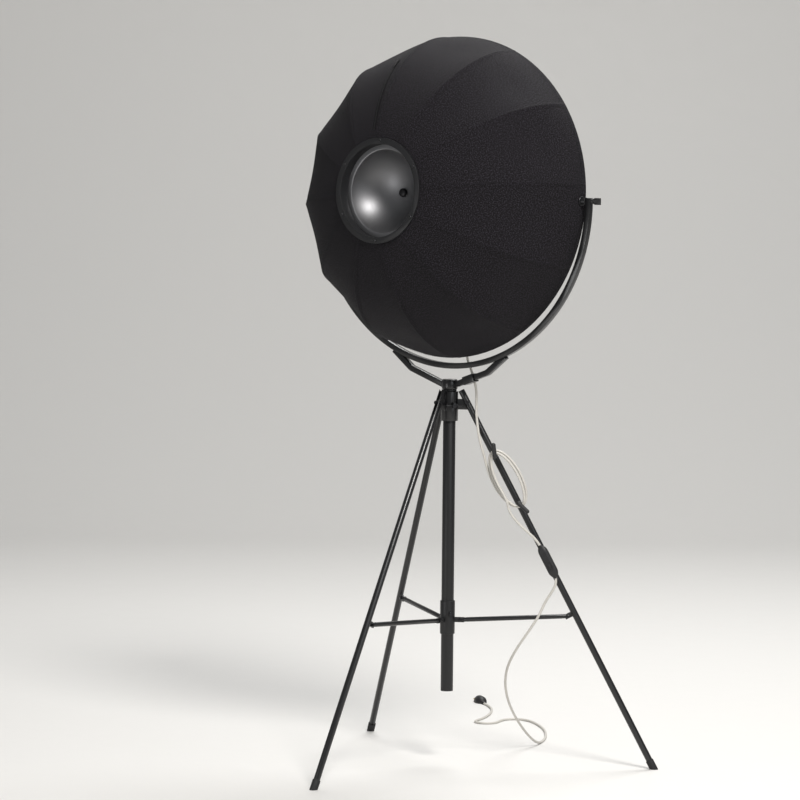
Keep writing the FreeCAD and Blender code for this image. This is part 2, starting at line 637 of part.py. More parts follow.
armTrimmer = new("Part::Cylinder", "armTrimmer")
bind(armTrimmer, Radius="yokeRadius+yokeBar/2", Height="yokeBar*3")
seat(armTrimmer, 0, "yokeBar*1.5", "headPivotHeight", 0, 0, 90)
hubTrimmer = seat(rod("hubTrimmer", "swivelRadius", "swivelHigh+40"), 0, 0,
                  "hubTop+stopRingHigh+4*slack-20")
for side, sign in (("left", -1), ("right", 1)):
    arm = makeArm(side + "Arm", sign)
    keep(cut(side + "ArmCut", arm, fuse(side + "ArmTools", [armTrimmer, hubTrimmer])), "fork_arm_" + side)

swivelBase = "hubTop+stopRingHigh+4*slack"
swivel = turned("swivelTurned", [
    ("swivelBore", "0"), ("swivelRadius", "0"), ("swivelRadius", "swivelHigh"), ("swivelBore", "swivelHigh")])
keep(seat(swivel, 0, 0, swivelBase), "swivel_hub")
capBody = turned("capTurned", [
    ("0", "0"), ("swivelRadius", "0"), ("swivelRadius", "swivelCapHigh*0.6"),
    ("swivelRadius-2", "swivelCapHigh"), ("0", "swivelCapHigh")])
keep(seat(capBody, 0, 0, swivelBase + "+swivelHigh"), "swivel_cap")


clipOuter = block("clipOuter", "armBar+2*cordClipWall", "armBar+2*cordClipWall", "cordClipLong")
clipInner = block("clipInner", "armBar+slack", "armBar+slack", "cordClipLong")
clipBlock = cut("clipBlock", clipOuter, clipInner)
slopeText = "atan((armRootDrop-armKneeDrop)/(armKneeOut-swivelRadius+6))"
clipAlong = "(cordClipOut-cordClipLong/2*cos(%s))" % slopeText
clipUp = "(headPivotHeight-armRootDrop+(cordClipOut-swivelRadius+6)*tan(%s)-cordClipLong/2*sin(%s))" % (slopeText, slopeText)
seat(clipBlock, "-" + clipAlong, 0, clipUp, 0, "%s-90deg" % slopeText, 0)
clipRingPlace = Vector(-58, -22, 1002)
clipWay = Vector(0.3, 0.1, 0.949).normalize()
clipRing = Part.makeCylinder(size("cordRadius") + 3.2, 9, clipRingPlace - clipWay * 4.5, clipWay)
clipFace = size("armBar") / 2 + size("cordClipWall") - 1.5
clipReach = Part.makeBox(7, -clipRingPlace.y - 5 - clipFace, 7,
                         Vector(clipRingPlace.x - 3.5, clipRingPlace.y + 5, clipRingPlace.z - 6))
clipBore = Part.makeCylinder(size("cordRadius") + 0.6, 40, clipRingPlace - clipWay * 20, clipWay)
clipEye = cut("clipEye", shaped("clipRing", clipRing.fuse(clipReach)), shaped("clipBore", clipBore))
keep(fuse("clipFused", [clipBlock, clipEye]), "cord_clip")

# ---------------------------------------------------------------- the mast
mastTop = "hubTop+slack+stopRingHigh"
mast = tube("mastTube", "mastRadius", "mastWall", "mastLength")
keep(seat(mast, 0, 0, mastTop + "-mastLength"), "mast_tube")
stopRing = turned("stopRingTurned", [
    ("mastRadius", "0"), ("stopRing", "0"), ("stopRing", "stopRingHigh"), ("mastRadius", "stopRingHigh")])
keep(seat(stopRing, 0, 0, "hubTop+slack"), "stop_ring")
spigot = turned("spigotTurned", [
    ("0", "0"), ("mastRadius-mastWall", "0"), ("mastRadius-mastWall", "30"), ("spigotRadius", "30"),
    ("spigotRadius", "30+swivelHigh"), ("0", "30+swivelHigh")])
keep(seat(spigot, 0, 0, mastTop + "-30"), "swivel_spigot")
glide = turned("glideTurned", [
    ("mastRadius-mastWall-2", "0"), ("columnRadius-columnWall-runFit", "0"),
    ("columnRadius-columnWall-runFit", "glideHigh*0.5"), ("mastRadius-mastWall", "glideHigh*0.5"),
    ("mastRadius-mastWall", "glideHigh"), ("mastRadius-mastWall-2", "glideHigh")])
keep(seat(glide, 0, 0, mastTop + "-mastLength-glideHigh*0.5"), "mast_glide")

# ---------------------------------------------------------------- the tripod
columnTop = "hubTop-hubHigh+hubSocket"
column = tube("columnTube", "columnRadius", "columnWall", "%s-columnBottom" % columnTop)
seat(column, 0, 0, "columnBottom")
columnHole = seat(rod("columnClampHole", "clampShank+runFit", "hubRadius+10"), 0, 0, "clampHeight",
                  "clampAngle", 90)
keep(cut("columnCut", column, columnHole), "column_tube")
plug = turned("columnPlug", [
    ("0", "0"), ("columnRadius", "0"), ("columnRadius", "columnPlugLip"),
    ("columnRadius-columnWall", "columnPlugLip"), ("columnRadius-columnWall", "columnPlugLong"),
    ("0", "columnPlugLong")])
keep(seat(plug, 0, 0, "columnBottom-columnPlugLip"), "column_end_plug")

legAngles = (("rear", 90), ("left", 210), ("right", 330))
lean = "atan((footRadius-legTopRadius)/legTopHeight)"
hubBottom = "hubTop-hubHigh"
hubTurned = turned("hubTurned", [
    ("mastRadius+runFit", "hubSocket"), ("columnRadius+runFit", "hubSocket"), ("columnRadius+runFit", "0"),
    ("hubRadius", "0"), ("hubRadius", "hubHigh"), ("mastRadius+runFit", "hubHigh")])
seat(hubTurned, 0, 0, hubBottom)
hubLugs = []
for side, angle in legAngles:
    lug = bind(new("Part::Box", side + "HubLug"), Length="hubLugReach-hubRadius+3", Width="hubLugThick",
               Height="hubLugTop-hubLugBottom")
    radial = "(hubRadius-3)"
    seat(lug, "%s*cos(%d)+hubLugThick/2*sin(%d)" % (radial, angle, angle),
         "%s*sin(%d)-hubLugThick/2*cos(%d)" % (radial, angle, angle), "hubLugBottom", angle)
    hubLugs.append(lug)
boltAlong = "((footRadius-legBoltRadius)/sin(%s))" % lean


def seatLeg(thing, angle):
    """From a leg's own frame: Z up along the leg from the floor, X outward, Y round the column."""
    return seat(thing, "footRadius*cos(%d)" % angle, "footRadius*sin(%d)" % angle, 0, angle, "-" + lean)


def crossPin(name, radius, length, x, y, z):
    """A pin along the leg frame's Y, centred there."""
    return seat(rod(name, radius, length), x, "(%s)+(%s)/2" % (y, length), z, 0, 0, 90)


hubHoles = [seatLeg(group(side + "HubHoleSeat",
                          [crossPin(side + "HubHole", "boltRadius+runFit", 40, 0, 0, boltAlong)]),
                    angle) for side, angle in legAngles]
clampHole = seat(rod("hubClampHole", "clampShank+runFit", "hubRadius+10"), 0, 0, "clampHeight",
                 "clampAngle", 90)
keep(cut("hubCut", fuse("hubFused", [hubTurned] + hubLugs), fuse("hubTools", hubHoles + [clampHole])),
     "tripod_hub")

endAlong = "((footRadius-legEndRadius)/sin(%s))" % lean
lugAlong = "(braceLugHeight/cos(%s))" % lean
legBolts = []
braceBolts = []
footCaps = []
for side, angle in legAngles:
    legTube = tube(side + "LegTube", "legRadius", "legWall", "%s-footCapFloor" % endAlong)
    seat(legTube, 0, 0, "footCapFloor")
    lug = bind(new("Part::Box", side + "LegLug"), Length="braceLugDrop+braceLugWide/2-legRadius+1",
               Width="braceLugThick", Height="braceLugWide")
    seat(lug, "-braceLugDrop-braceLugWide/2", "-braceLugThick/2", "%s-braceLugWide/2" % lugAlong)
    slot = bind(new("Part::Box", side + "LegSlot"), Length="legRadius*4", Width="hubLugThick+slack*2",
                Height="legSlotLong+10")
    seat(slot, "-legRadius*2", "-hubLugThick/2-slack", "%s-legSlotLong" % endAlong)
    holes = [crossPin(side + "LegHole", "boltRadius+runFit", 40, 0, 0, boltAlong),
             crossPin(side + "LugHole", "braceBolt+runFit", 40, "-braceLugDrop", 0, lugAlong)]
    leg = cut(side + "LegCut", fuse(side + "LegFused", [legTube, lug]),
              fuse(side + "LegTools", [slot] + holes))
    keep(seatLeg(leg, angle), "leg_" + side)
    shank = crossPin(side + "BoltShank", "boltRadius", "2*legRadius+2*boltHeadHigh", 0, 0, boltAlong)
    heads = [crossPin(side + "BoltHead%d" % end, "boltHead", "boltHeadHigh", 0,
                      "%d*(legRadius+boltHeadHigh/2+slack)" % end, boltAlong) for end in (-1, 1)]
    legBolts.append(seatLeg(fuse(side + "Bolt", [shank] + heads), angle))
    pin = crossPin(side + "PinShank", "braceBolt", "2*braceRadius+2*boltHeadHigh", "-braceLugDrop", 0,
                   lugAlong)
    caps = [crossPin(side + "PinHead%d" % end, "braceBoltHead", "boltHeadHigh", "-braceLugDrop",
                     "%d*(braceRadius+boltHeadHigh/2+slack)" % end, lugAlong) for end in (-1, 1)]
    braceBolts.append(seatLeg(fuse(side + "Pin", [pin] + caps), angle))
    capBody = turned(side + "FootCap", [
        ("0", "0"), ("footCapRadius", "0"), ("footCapRadius", "footCapLong+10"), ("legRadius+runFit",
                                                                                  "footCapLong+10"),
        ("legRadius+runFit", "footCapFloor+10"), ("0", "footCapFloor+10")])
    seat(capBody, 0, 0, -10)
    capSeated = seatLeg(group(side + "FootCapSeat", [capBody]), angle)
    floorBlock = block(side + "FloorBlock", "3*footRadius", "3*footRadius", "40")
    seat(floorBlock, "-1.5*footRadius", "-1.5*footRadius", -40)
    footCaps.append(cut(side + "FootCapCut", capSeated, floorBlock))
keep(group("legBoltSet", legBolts), "leg_bolts")
keep(group("braceBoltSet", braceBolts), "brace_outer_bolts")
keep(group("footCapSet", footCaps), "foot_caps")

sleeveTube = turned("sleeveTurned", [
    ("columnRadius+runFit", "0"), ("sleeveRadius-1", "0"), ("sleeveRadius", "1"), ("sleeveRadius",
                                                                                   "sleeveHigh-1"),
    ("sleeveRadius-1", "sleeveHigh"), ("columnRadius+runFit", "sleeveHigh")])
seat(sleeveTube, 0, 0, "sleeveBottom")
outerRadius = "(footRadius-braceLugHeight*tan(%s)-braceLugDrop*cos(%s))" % (lean, lean)
outerHeight = "(braceLugHeight-braceLugDrop*sin(%s))" % lean
rise = "atan((%s-braceRootHeight)/(%s-braceRootRadius))" % (outerHeight, outerRadius)
span = "sqrt((%s-braceRootRadius)^2+(%s-braceRootHeight)^2)" % (outerRadius, outerHeight)
sleeveLugs = []
sleeveHoles = []
sleeveBolts = []
for side, angle in legAngles:
    lug = bind(new("Part::Box", side + "SleeveLug"), Length="braceRootRadius-sleeveRadius+braceLugWide/2+1",
               Width="braceLugThick", Height="braceLugWide")
    radial = "(sleeveRadius-1)"
    seat(lug, "%s*cos(%d)+braceLugThick/2*sin(%d)" % (radial, angle, angle),
         "%s*sin(%d)-braceLugThick/2*cos(%d)" % (radial, angle,
                                                 angle), "braceRootHeight-braceLugWide/2", angle)
    sleeveLugs.append(lug)

    def seatBrace(thing):
        return seat(thing, "braceRootRadius*cos(%d)" % angle, "braceRootRadius*sin(%d)" % angle,
                    "braceRootHeight",
                    angle, "90deg-" + rise)

    hole = crossPin(side + "SleeveHole", "braceBolt+runFit", 40, 0, 0, 0)
    sleeveHoles.append(seatBrace(group(side + "SleeveHoleSeat", [hole])))
    shank = crossPin(side + "RootShank", "braceBolt", "2*braceRadius+2*boltHeadHigh", 0, 0, 0)
    heads = [crossPin(side + "RootHead%d" % end, "braceBoltHead", "boltHeadHigh", 0,
                      "%d*(braceRadius+boltHeadHigh/2+slack)" % end, 0) for end in (-1, 1)]
    sleeveBolts.append(seatBrace(fuse(side + "RootBolt", [shank] + heads)))
    braceTube = tube(side + "BraceTube", "braceRadius", "braceWall", "%s+2*braceEnd" % span)
    seat(braceTube, 0, 0, "-braceEnd")
    slots = []
    for place, start in (("Inner", "-braceEnd-1"), ("Outer", "%s+braceEnd+1-braceSlotLong" % span)):
        slotBox = bind(new("Part::Box", side + place + "Slot"), Length="braceRadius*4",
                       Width="braceLugThick+2*slack", Height="braceSlotLong")
        seat(slotBox, "-braceRadius*2", "-braceLugThick/2-slack", start)
        slots.append(slotBox)
    slots.append(crossPin(side + "BraceHoleIn", "braceBolt+runFit", 40, 0, 0, 0))
    slots.append(crossPin(side + "BraceHoleOut", "braceBolt+runFit", 40, 0, 0, span))
    keep(seatBrace(cut(side + "BraceCut", braceTube, fuse(side + "BraceTools", slots))), "brace_" + side)
setHole = seat(rod("setHole", "setScrewShank+runFit", "sleeveRadius+10"), 0, 0, "setScrewHeight",
               "clampAngle", 90)
keep(cut("sleeveCut", fuse("sleeveFused", [sleeveTube] + sleeveLugs),
         fuse("sleeveTools", sleeveHoles + [setHole])),
     "brace_sleeve")
keep(group("sleeveBoltSet", sleeveBolts), "brace_inner_bolts")

setScrew = turned("setScrewTurned", [
    ("0", "0"), ("setScrewShank", "0"), ("setScrewShank", "sleeveRadius-columnRadius"),
    ("setScrewHead", "sleeveRadius-columnRadius"), ("setScrewHead", "sleeveRadius-columnRadius+5"),
    ("0", "sleeveRadius-columnRadius+5")])
keep(seat(setScrew, "(columnRadius+2*runFit)*cos(clampAngle)", "(columnRadius+2*runFit)*sin(clampAngle)",
          "setScrewHeight",
          "clampAngle", 90), "sleeve_set_screw")

clampScrew = turned("clampTurned", [
    ("0", "0"), ("clampShank", "0"), ("clampShank", "hubRadius-mastRadius+4"),
    ("clampHead", "hubRadius-mastRadius+4"), ("clampHead", "hubRadius-mastRadius+4+clampHeadLong"),
    ("0", "hubRadius-mastRadius+4+clampHeadLong")])
tommyHoleHeight = "(hubRadius-mastRadius+4+clampHeadLong/2)"
tommyHole = crossPin("tommyHole", "tommyRadius+runFit", 30, 0, 0, tommyHoleHeight)
clampCut = cut("clampScrewCut", clampScrew, tommyHole)
tommy = group("tommySeat", [crossPin("tommyRod", "tommyRadius", "tommyLong", 0, 0, tommyHoleHeight)])
clampStart = "(mastRadius+slack)"
for thing, node in ((clampCut, "clamp_screw"), (tommy, "tommy_bar")):
    keep(seat(thing, clampStart + "*cos(clampAngle)", clampStart + "*sin(clampAngle)", "clampHeight",
              "clampAngle", 90), node)

# ---------------------------------------------------------------- the cleat hooks
# They stand on the viewer's side of the left leg: -Y in that leg's frame.
cordLeg = 210


def hook(name, along, direction, node):
    stem = seat(rod(name + "Stem", "hookStem", "hookReach-legRadius+1"), "hookOut*0.55", "-legRadius+2.5",
                along, 0, 0, 90)
    finger = rod(name + "Finger", "hookRadius", "hookFinger")
    tip = bind(new("Part::Sphere", name + "Tip"), Radius="hookRadius")
    seat(tip, 0, 0, "hookFinger")
    root = bind(new("Part::Sphere", name + "Root"), Radius="hookRadius")
    arm = fuse(name + "Arm", [finger, tip, root])
    turn = "hookLean" if direction > 0 else "180-hookLean"
    seat(arm, "hookOut*0.55", "-hookReach", along, 0, turn, 0)
    clear = seat(rod(name + "Clear", "legRadius+runFit", "200"), 0, 0, "%s-100" % along)
    keep(seatLeg(cut(name + "Cut", fuse(name + "Fused", [stem, arm]), clear), cordLeg), node)


hook("upperHook", "hookUpperAlong", 1, "cleat_hook_upper")
hook("lowerHook", "hookLowerAlong", -1, "cleat_hook_lower")

# ---------------------------------------------------------------- the dimmer
# It lies along the same leg, on its viewer's side, and its slider faces away from the leg.
dimmerBack = "(legRadius+slack)"
dimmerMid = "(legRadius+slack+dimmerThick/2)"


def dimmerBlock(name, grow):
    box = bind(new("Part::Box", name), Length="dimmerWide-2*(%s)" % grow, Width="dimmerThick-2*(%s)" % grow,
               Height="dimmerLong-2*(%s)" % grow)
    return seat(box, "dimmerOut-dimmerWide/2+%s" % grow, "-%s-dimmerThick+%s" % (dimmerBack, grow),
                "dimmerAlong-dimmerLong/2+%s" % grow)


dimmerBox = dimmerBlock("dimmerBox", "0")
dimmerRound = new("Part::Fillet", "dimmerRound")
dimmerRound.Base = dimmerBox
doc.recompute()
cornerRadius = min(size("dimmerCorner"), size("dimmerThick") * 0.4)
dimmerRound.Edges = [(i + 1, cornerRadius, cornerRadius) for i in range(len(dimmerBox.Shape.Edges))]
dimmerHollow = dimmerBlock("dimmerHollow", "dimmerWall")
slotBox = bind(new("Part::Box", "dimmerSlot"), Length="dimmerSlotWide", Width="dimmerThick",
               Height="dimmerSlotLong")
seat(slotBox, "dimmerOut-dimmerSlotWide/2", "-%s-dimmerThick" % dimmerMid, "dimmerAlong-dimmerSlotLong/2")
cordWays = seat(rod("dimmerCordWays", "cordRadius+slack", "dimmerLong*2"), "dimmerOut", "-" + dimmerMid,
                "dimmerAlong-dimmerLong")
dimmerShell = cut("dimmerShell", dimmerRound, fuse("dimmerTools", [dimmerHollow, slotBox, cordWays]))
for place, start in (("Lower", "-%s+0.1" % dimmerMid), ("Upper", "-%s-dimmerThick-0.1" % dimmerMid)):
    halfBox = bind(new("Part::Box", "dimmerHalf" + place), Length="dimmerWide*2", Width="dimmerThick",
                   Height="dimmerLong*2")
    seat(halfBox, "dimmerOut-dimmerWide", start, "dimmerAlong-dimmerLong")
    shell = new("Part::Common", "dimmerShell" + place)
    shell.Base = dimmerShell
    shell.Tool = halfBox
    keep(seatLeg(shell, cordLeg), "dimmer_shell_" + place.lower())
sliderFoot = "dimmerAlong-sliderTravel/2-sliderLong/2"
sliderIn = "-%s-dimmerThick+dimmerWall" % dimmerBack
sliderBase = bind(new("Part::Box", "sliderBase"), Length="dimmerSlotWide+6", Width="3", Height="sliderLong+6")
seat(sliderBase, "dimmerOut-dimmerSlotWide/2-3", sliderIn + "+slack", sliderFoot + "-3")
sliderKnob = bind(new("Part::Box", "sliderKnob"), Length="dimmerSlotWide-0.8", Width="dimmerWall+5",
                  Height="sliderLong")
seat(sliderKnob, "dimmerOut-dimmerSlotWide/2+0.4", sliderIn + "-dimmerWall-4", sliderFoot)
keep(seatLeg(fuse("sliderFused", [sliderBase, sliderKnob]), cordLeg), "dimmer_slider")

# ---------------------------------------------------------------- the cord
legLean = math.atan((size("footRadius") - size("legTopRadius")) / size("legTopHeight"))
legTurn = math.radians(cordLeg)
legOut = Vector(math.cos(legTurn), math.sin(legTurn), 0)
legUp = legOut * -math.sin(legLean) + Vector(0, 0, math.cos(legLean))
legNormal = legOut * math.cos(legLean) + Vector(0, 0, math.sin(legLean))
legNear = Vector(math.sin(legTurn), -math.cos(legTurn), 0)


def onLeg(along, out, near):
    """A point beside the cord's leg: up along it, outward of it and in front of it."""
    return legOut * size("footRadius") + legUp * along + legNormal * out + legNear * near


def cordTube(name, points, node):
    """Straight runs joined by tangent arcs, each as large as its two runs allow."""
    edges = []
    radii = []
    place = points[0]
    for before, corner, after in zip(points, points[1:], points[2:]):
        into = (corner - before).normalize()
        out = (after - corner).normalize()
        turn = into.getAngle(out)
        shorter = min((corner - before).Length, (after - corner).Length)
        trim = 0.45 * shorter
        radius = trim / math.tan(turn / 2)
        radii.append(radius)
        first = corner - into * trim
        last = corner + out * trim
        toCentre = (out - into).normalize()
        mid = corner + toCentre * (radius / math.cos(turn / 2) - radius)
        edges.append(Part.LineSegment(place, first).toShape())
        edges.append(Part.Arc(first, mid, last).toShape())
        place = last
    edges.append(Part.LineSegment(place, points[-1]).toShape())
    path = Part.Wire(edges)
    along = (points[1] - points[0]).normalize()
    section = Part.Wire(Part.makeCircle(size("cordRadius"), points[0], along))
    solid = path.makePipeShell([section], True, False)
    expected = math.pi * size("cordRadius") ** 2 * path.Length
    print("%s: %.0f mm long, tightest radius %.1f, volume ratio %.4f"
          % (node, path.Length, min(radii or [0]), solid.Volume / expected))
    return keep(shaped(name, solid), node)


def biarc(start, startWay, end, endWay):
    """Two arcs that leave start and reach end along the given ways."""
    chord = end - start
    ways = startWay + endWay
    a = 2 * (1 - startWay.dot(endWay))
    b = 2 * chord.dot(ways)
    c = -chord.dot(chord)
    reach = -c / b if a < 1e-9 else (-b + math.sqrt(b * b - 4 * a * c)) / (2 * a)
    first = start + startWay * reach
    second = end - endWay * reach
    joint = (first + second) * 0.5
    edges = []
    for tail, corner, head in ((start, first, joint), (joint, second, end)):
        into = (corner - tail).normalize()
        out = (head - corner).normalize()
        turn = into.getAngle(out)
        if turn < 1e-4:
            edges.append(Part.LineSegment(tail, head).toShape())
            continue
        radius = (corner - tail).Length / math.tan(turn / 2)
        mid = corner + (out - into).normalize() * (radius / math.cos(turn / 2) - radius)
        edges.append(Part.Arc(tail, mid, head).toShape())
    return edges


hankMiddle = (size("hookUpperAlong") + size("hookLowerAlong")) / 2 + 1
hankStart = math.radians(165)
hankEnd = hankStart + 2 * math.pi * size("hankTurns") + math.radians(25)


def hankPoint(angle):
    """A point of the hank: angle 90 is the top of a turn, 0 its outer side."""
    gone = (angle - hankStart) / (2 * math.pi)
    swell = 1 + 0.07 * math.sin(1.7 * gone + 0.4)
    along = hankMiddle + size("hankHalfLong") * math.sin(angle) * swell
    out = size("hankOut") + size("hankHalfWide") * math.cos(angle) * (1.1 - 0.17 * gone)
    return onLeg(along, out, size("hankNear") + size("hankPitch") * gone)


def hankWay(angle):
    step = 1e-4
    return (hankPoint(angle + step) - hankPoint(angle - step)).normalize()


quarters = int(round((hankEnd - hankStart) / (math.pi / 4)))
turnAngles = [hankStart + (hankEnd - hankStart) * i / quarters for i in range(quarters + 1)]
hankEdges = []
for now, then in zip(turnAngles, turnAngles[1:]):
    hankEdges += biarc(hankPoint(now), hankWay(now), hankPoint(then), hankWay(then))
hankIn = hankPoint(hankStart)
hankOutPoint = hankPoint(hankEnd)
stub = 2 * size("cordRadius")
hankEdges = ([Part.LineSegment(hankIn - hankWay(hankStart) * stub, hankIn).toShape()] + hankEdges
             + [Part.LineSegment(hankOutPoint, hankOutPoint + hankWay(hankEnd) * stub).toShape()])
hankPath = Part.Wire(hankEdges)
hankSection = Part.Wire(Part.makeCircle(size("cordRadius"), hankIn - hankWay(hankStart) * stub,
                                        hankWay(hankStart)))
hankSolid = hankPath.makePipeShell([hankSection], True, False)
samples = [(i * 2 * math.pi / 90) for i in range(int(90 * (hankEnd - hankStart) / (2 * math.pi)))]
trace = [hankPoint(hankStart + s) for s in samples]
gaps = [(a - b).Length for i, a in enumerate(trace) for b in trace[i + 45:]]
print("cord_hank: %.0f mm long, least gap to itself %.2f mm" % (hankPath.Length,
                                                                min(gaps) - 2 * size("cordRadius")))
keep(shaped("hankTube", hankSolid), "cord_hank")

hankEntry = hankIn - hankWay(hankStart) * stub
hankExit = hankOutPoint + hankWay(hankEnd) * stub
entryWay = hankWay(hankStart)
exitWay = hankWay(hankEnd)

# The gland sits inside the rim, left of its lowest point; the cord drops from it.
glandPlace = Vector(-33, -26, size("headPivotHeight") - size("rimRadius") + size("glandInset"))
glandLong = 26.0


def makeGland():
    """A tapered gland on a small bracket that stands on the rim hoop."""
    body = Part.makeCylinder(6, glandLong * 0.6, glandPlace + Vector(0, 0, glandLong * 0.4))
    taper = Part.makeCone(4.2, 6, glandLong * 0.4, glandPlace)
    hoopRadius = size("rimRadius") - size("fabricThick") - size("hemGap") - size("rimRod") / 2
    hoopSpot = headPlace.multVec(Vector(glandPlace.x, math.sqrt(hoopRadius ** 2 - glandPlace.x ** 2),
                                        rimPlane))
    strip = Vector(9, 4, 4)
    top = glandPlace.z + glandLong * 0.7
    arm = Part.makeBox(strip.x, hoopSpot.y + strip.y / 2 - glandPlace.y - 4, strip.z,
                       Vector(glandPlace.x - strip.x / 2, glandPlace.y + 4, top - strip.z))
    foot = hoopSpot.z + size("rimRod") / 2 + size("slack")
    post = Part.makeBox(strip.x, strip.y, top - foot,
                        Vector(glandPlace.x - strip.x / 2, hoopSpot.y - strip.y / 2, foot))
    bore = Part.makeCylinder(size("cordRadius") + size("slack") / 3, glandLong + 20,
                             glandPlace - Vector(0, 0, 10))
    return shaped("glandClamp", body.fuse([taper, arm, post]).cut(bore))


keep(makeGland(), "cord_gland")

cordTop = glandPlace + Vector(0, 0, glandLong / 2)
tiltPoints = [cordTop, Vector(-33, -26, 1064), Vector(-36.5, -24.5, 1048), Vector(-44.5, -21.5, 1032),
              clipRingPlace + clipWay * 15, clipRingPlace]
cordTube("cordTilt", tiltPoints, "cord_at_yoke")
panPoints = [clipRingPlace, clipRingPlace - clipWay * 15, Vector(-64.3, -26.5, 970), Vector(-64.5, -29, 954),
             Vector(-64.5, -29, 938)]
cordTube("cordPan", panPoints, "cord_at_swivel")
liftPoints = [panPoints[-1], Vector(-64.5, -29, 922), Vector(-67, -25.8, 905), Vector(-70.4, -23.9, 888),
              Vector(-73.8, -23.3, 870), Vector(-77, -24, 850), Vector(-81.6, -26.8, 827), Vector(-88,
                                                                                                  -31.4, 801),
              hankEntry - entryWay * 24, hankEntry]
cordTube("cordLift", liftPoints, "cord_at_mast")

dimmerNear = size("legRadius") + size("slack") + size("dimmerThick") / 2
dimmerIn = onLeg(size("dimmerAlong") + size("dimmerLong") / 2, size("dimmerOut"), dimmerNear)
dimmerExit = onLeg(size("dimmerAlong") - size("dimmerLong") / 2, size("dimmerOut"), dimmerNear)
runPoints = [hankExit, hankExit + exitWay * 26, onLeg(755, -28, 27), onLeg(727, -23, 25),
             onLeg(702, -15, 23.5),
             onLeg(680, -6, 22), onLeg(660, 0.5, 20.5), dimmerIn]
cordTube("cordRun", runPoints, "cord_to_dimmer")

onFloor = size("cordRadius")
floorPoints = [dimmerExit, onLeg(539, -3.5, 19.3), onLeg(524, -24, 16.5), onLeg(508, -54, 10),
               Vector(-214, -105, 388), Vector(-188, -95, 346), Vector(-156, -89, 301), Vector(-121, -99,
                                                                                               254),
               Vector(-89, -130, 207), Vector(-62, -175, 158), Vector(-42, -226, 112), Vector(-29, -277, 70),
               Vector(-24, -322, 34), Vector(-20, -362, 10), Vector(-10, -398, onFloor), Vector(20, -460,
                                                                                                onFloor),
               Vector(62, -520, onFloor), Vector(104, -572, onFloor), Vector(150, -616, onFloor),
               Vector(194, -652, onFloor), Vector(229, -674, onFloor), Vector(260, -682, onFloor),
               Vector(285, -673, onFloor), Vector(297, -651, onFloor), Vector(294, -626, onFloor),
               Vector(286, -606, onFloor), Vector(282, -588, onFloor), Vector(288, -569, onFloor),
               Vector(304, -557, onFloor), Vector(324, -557, onFloor), Vector(340, -569, onFloor),
               Vector(347, -589, onFloor), Vector(352, -616, onFloor), Vector(366, -656, onFloor),
               Vector(390, -706, onFloor), Vector(424, -760, onFloor), Vector(466, -806, onFloor),
               Vector(512, -840, onFloor)]
cordTube("cordFloor", floorPoints, "cord_on_floor")

# ---------------------------------------------------------------- the plug
plugWay = (floorPoints[-1] - floorPoints[-2]).normalize()
plugTurn = math.degrees(math.atan2(plugWay.y, plugWay.x))
plugBody = turned("plugTurned", [
    ("0", "0"), ("cordRadius+1.5", "0"), ("cordRadius+3.5", "plugTail"), ("plugRadius*0.72", "plugTail+4"),
    ("plugRadius*0.9", "plugTail+14"), ("plugRadius*0.9", "plugTail+plugLong"), ("0", "plugTail+plugLong")])
plugFlats = bind(new("Part::Box", "plugFlats"), Length="4*plugRadius", Width="4*plugRadius", Height="200")
seat(plugFlats, "-4*plugRadius+cordRadius", "-2*plugRadius", "-50")
plugCommon = new("Part::Common", "plugCommon")
plugCommon.Base = plugBody
plugCommon.Tool = plugFlats
plugPins = []
for sign in (-1, 1):
    pin = seat(rod("plugPin%d" % sign, "pinRadius", "pinLong+8"), -4, "%d*pinSpacing/2" % sign,
               "plugTail+plugLong-8")
    plugPins.append(pin)
plugCut = cut("plugCut", plugCommon, group("plugPinTools", plugPins))
pinSet = group("plugPinSet", plugPins)
for thing, node in ((plugCut, "plug_body"), (pinSet, "plug_pins")):
    thing.Placement = Placement(floorPoints[-1], Rotation(plugTurn, 90, 0))
    keep(thing, node)

holderMid = headPlace.multVec(Vector(0, 0,
                                     size("ringSetback") - size("rimLead") + size("slack") - size("hubRingRecess")
                                     + size("hubRingWall") - size("bowlDepth") - 2 - size("holderLength") / 2))
leadStart = holderMid + Vector(0, 0, -size("holderRadius") + 3)
leadEnd = cordTop
leadPoints = [leadStart, leadStart + Vector(0, 0, -22), leadStart + Vector(-3, -14, -52),
              leadStart + Vector(-7, -38, -92), leadStart + Vector(-12, -66, -136), leadStart + Vector(-18,
                                                                                                       -96, -184),
              leadEnd + Vector(-1, 24, 110), leadEnd + Vector(-1.5, 5, 66), leadEnd + Vector(0, 0,
                                                                                             34), leadEnd]
cordTube("innerLead", leadPoints, "inner_lead")

doc.recompute()
faults = [thing.Name for thing in doc.Objects if "Invalid" in thing.State or "Error" in thing.State]
for piece in pieces:
    if piece.Shape.isNull() or not piece.Shape.isValid() or not piece.Shape.Solids:
        faults.append(piece.Label)
if faults:
    raise RuntimeError("faulty: " + ", ".join(faults))

os.makedirs("parts", exist_ok=True)
for piece in pieces:
    piece.Shape.exportStep("parts/%s.step" % piece.Label)
print("%d nodes written" % len(pieces))
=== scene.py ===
import bpy
import bmesh
import json
import math
from mathutils import Vector, Matrix


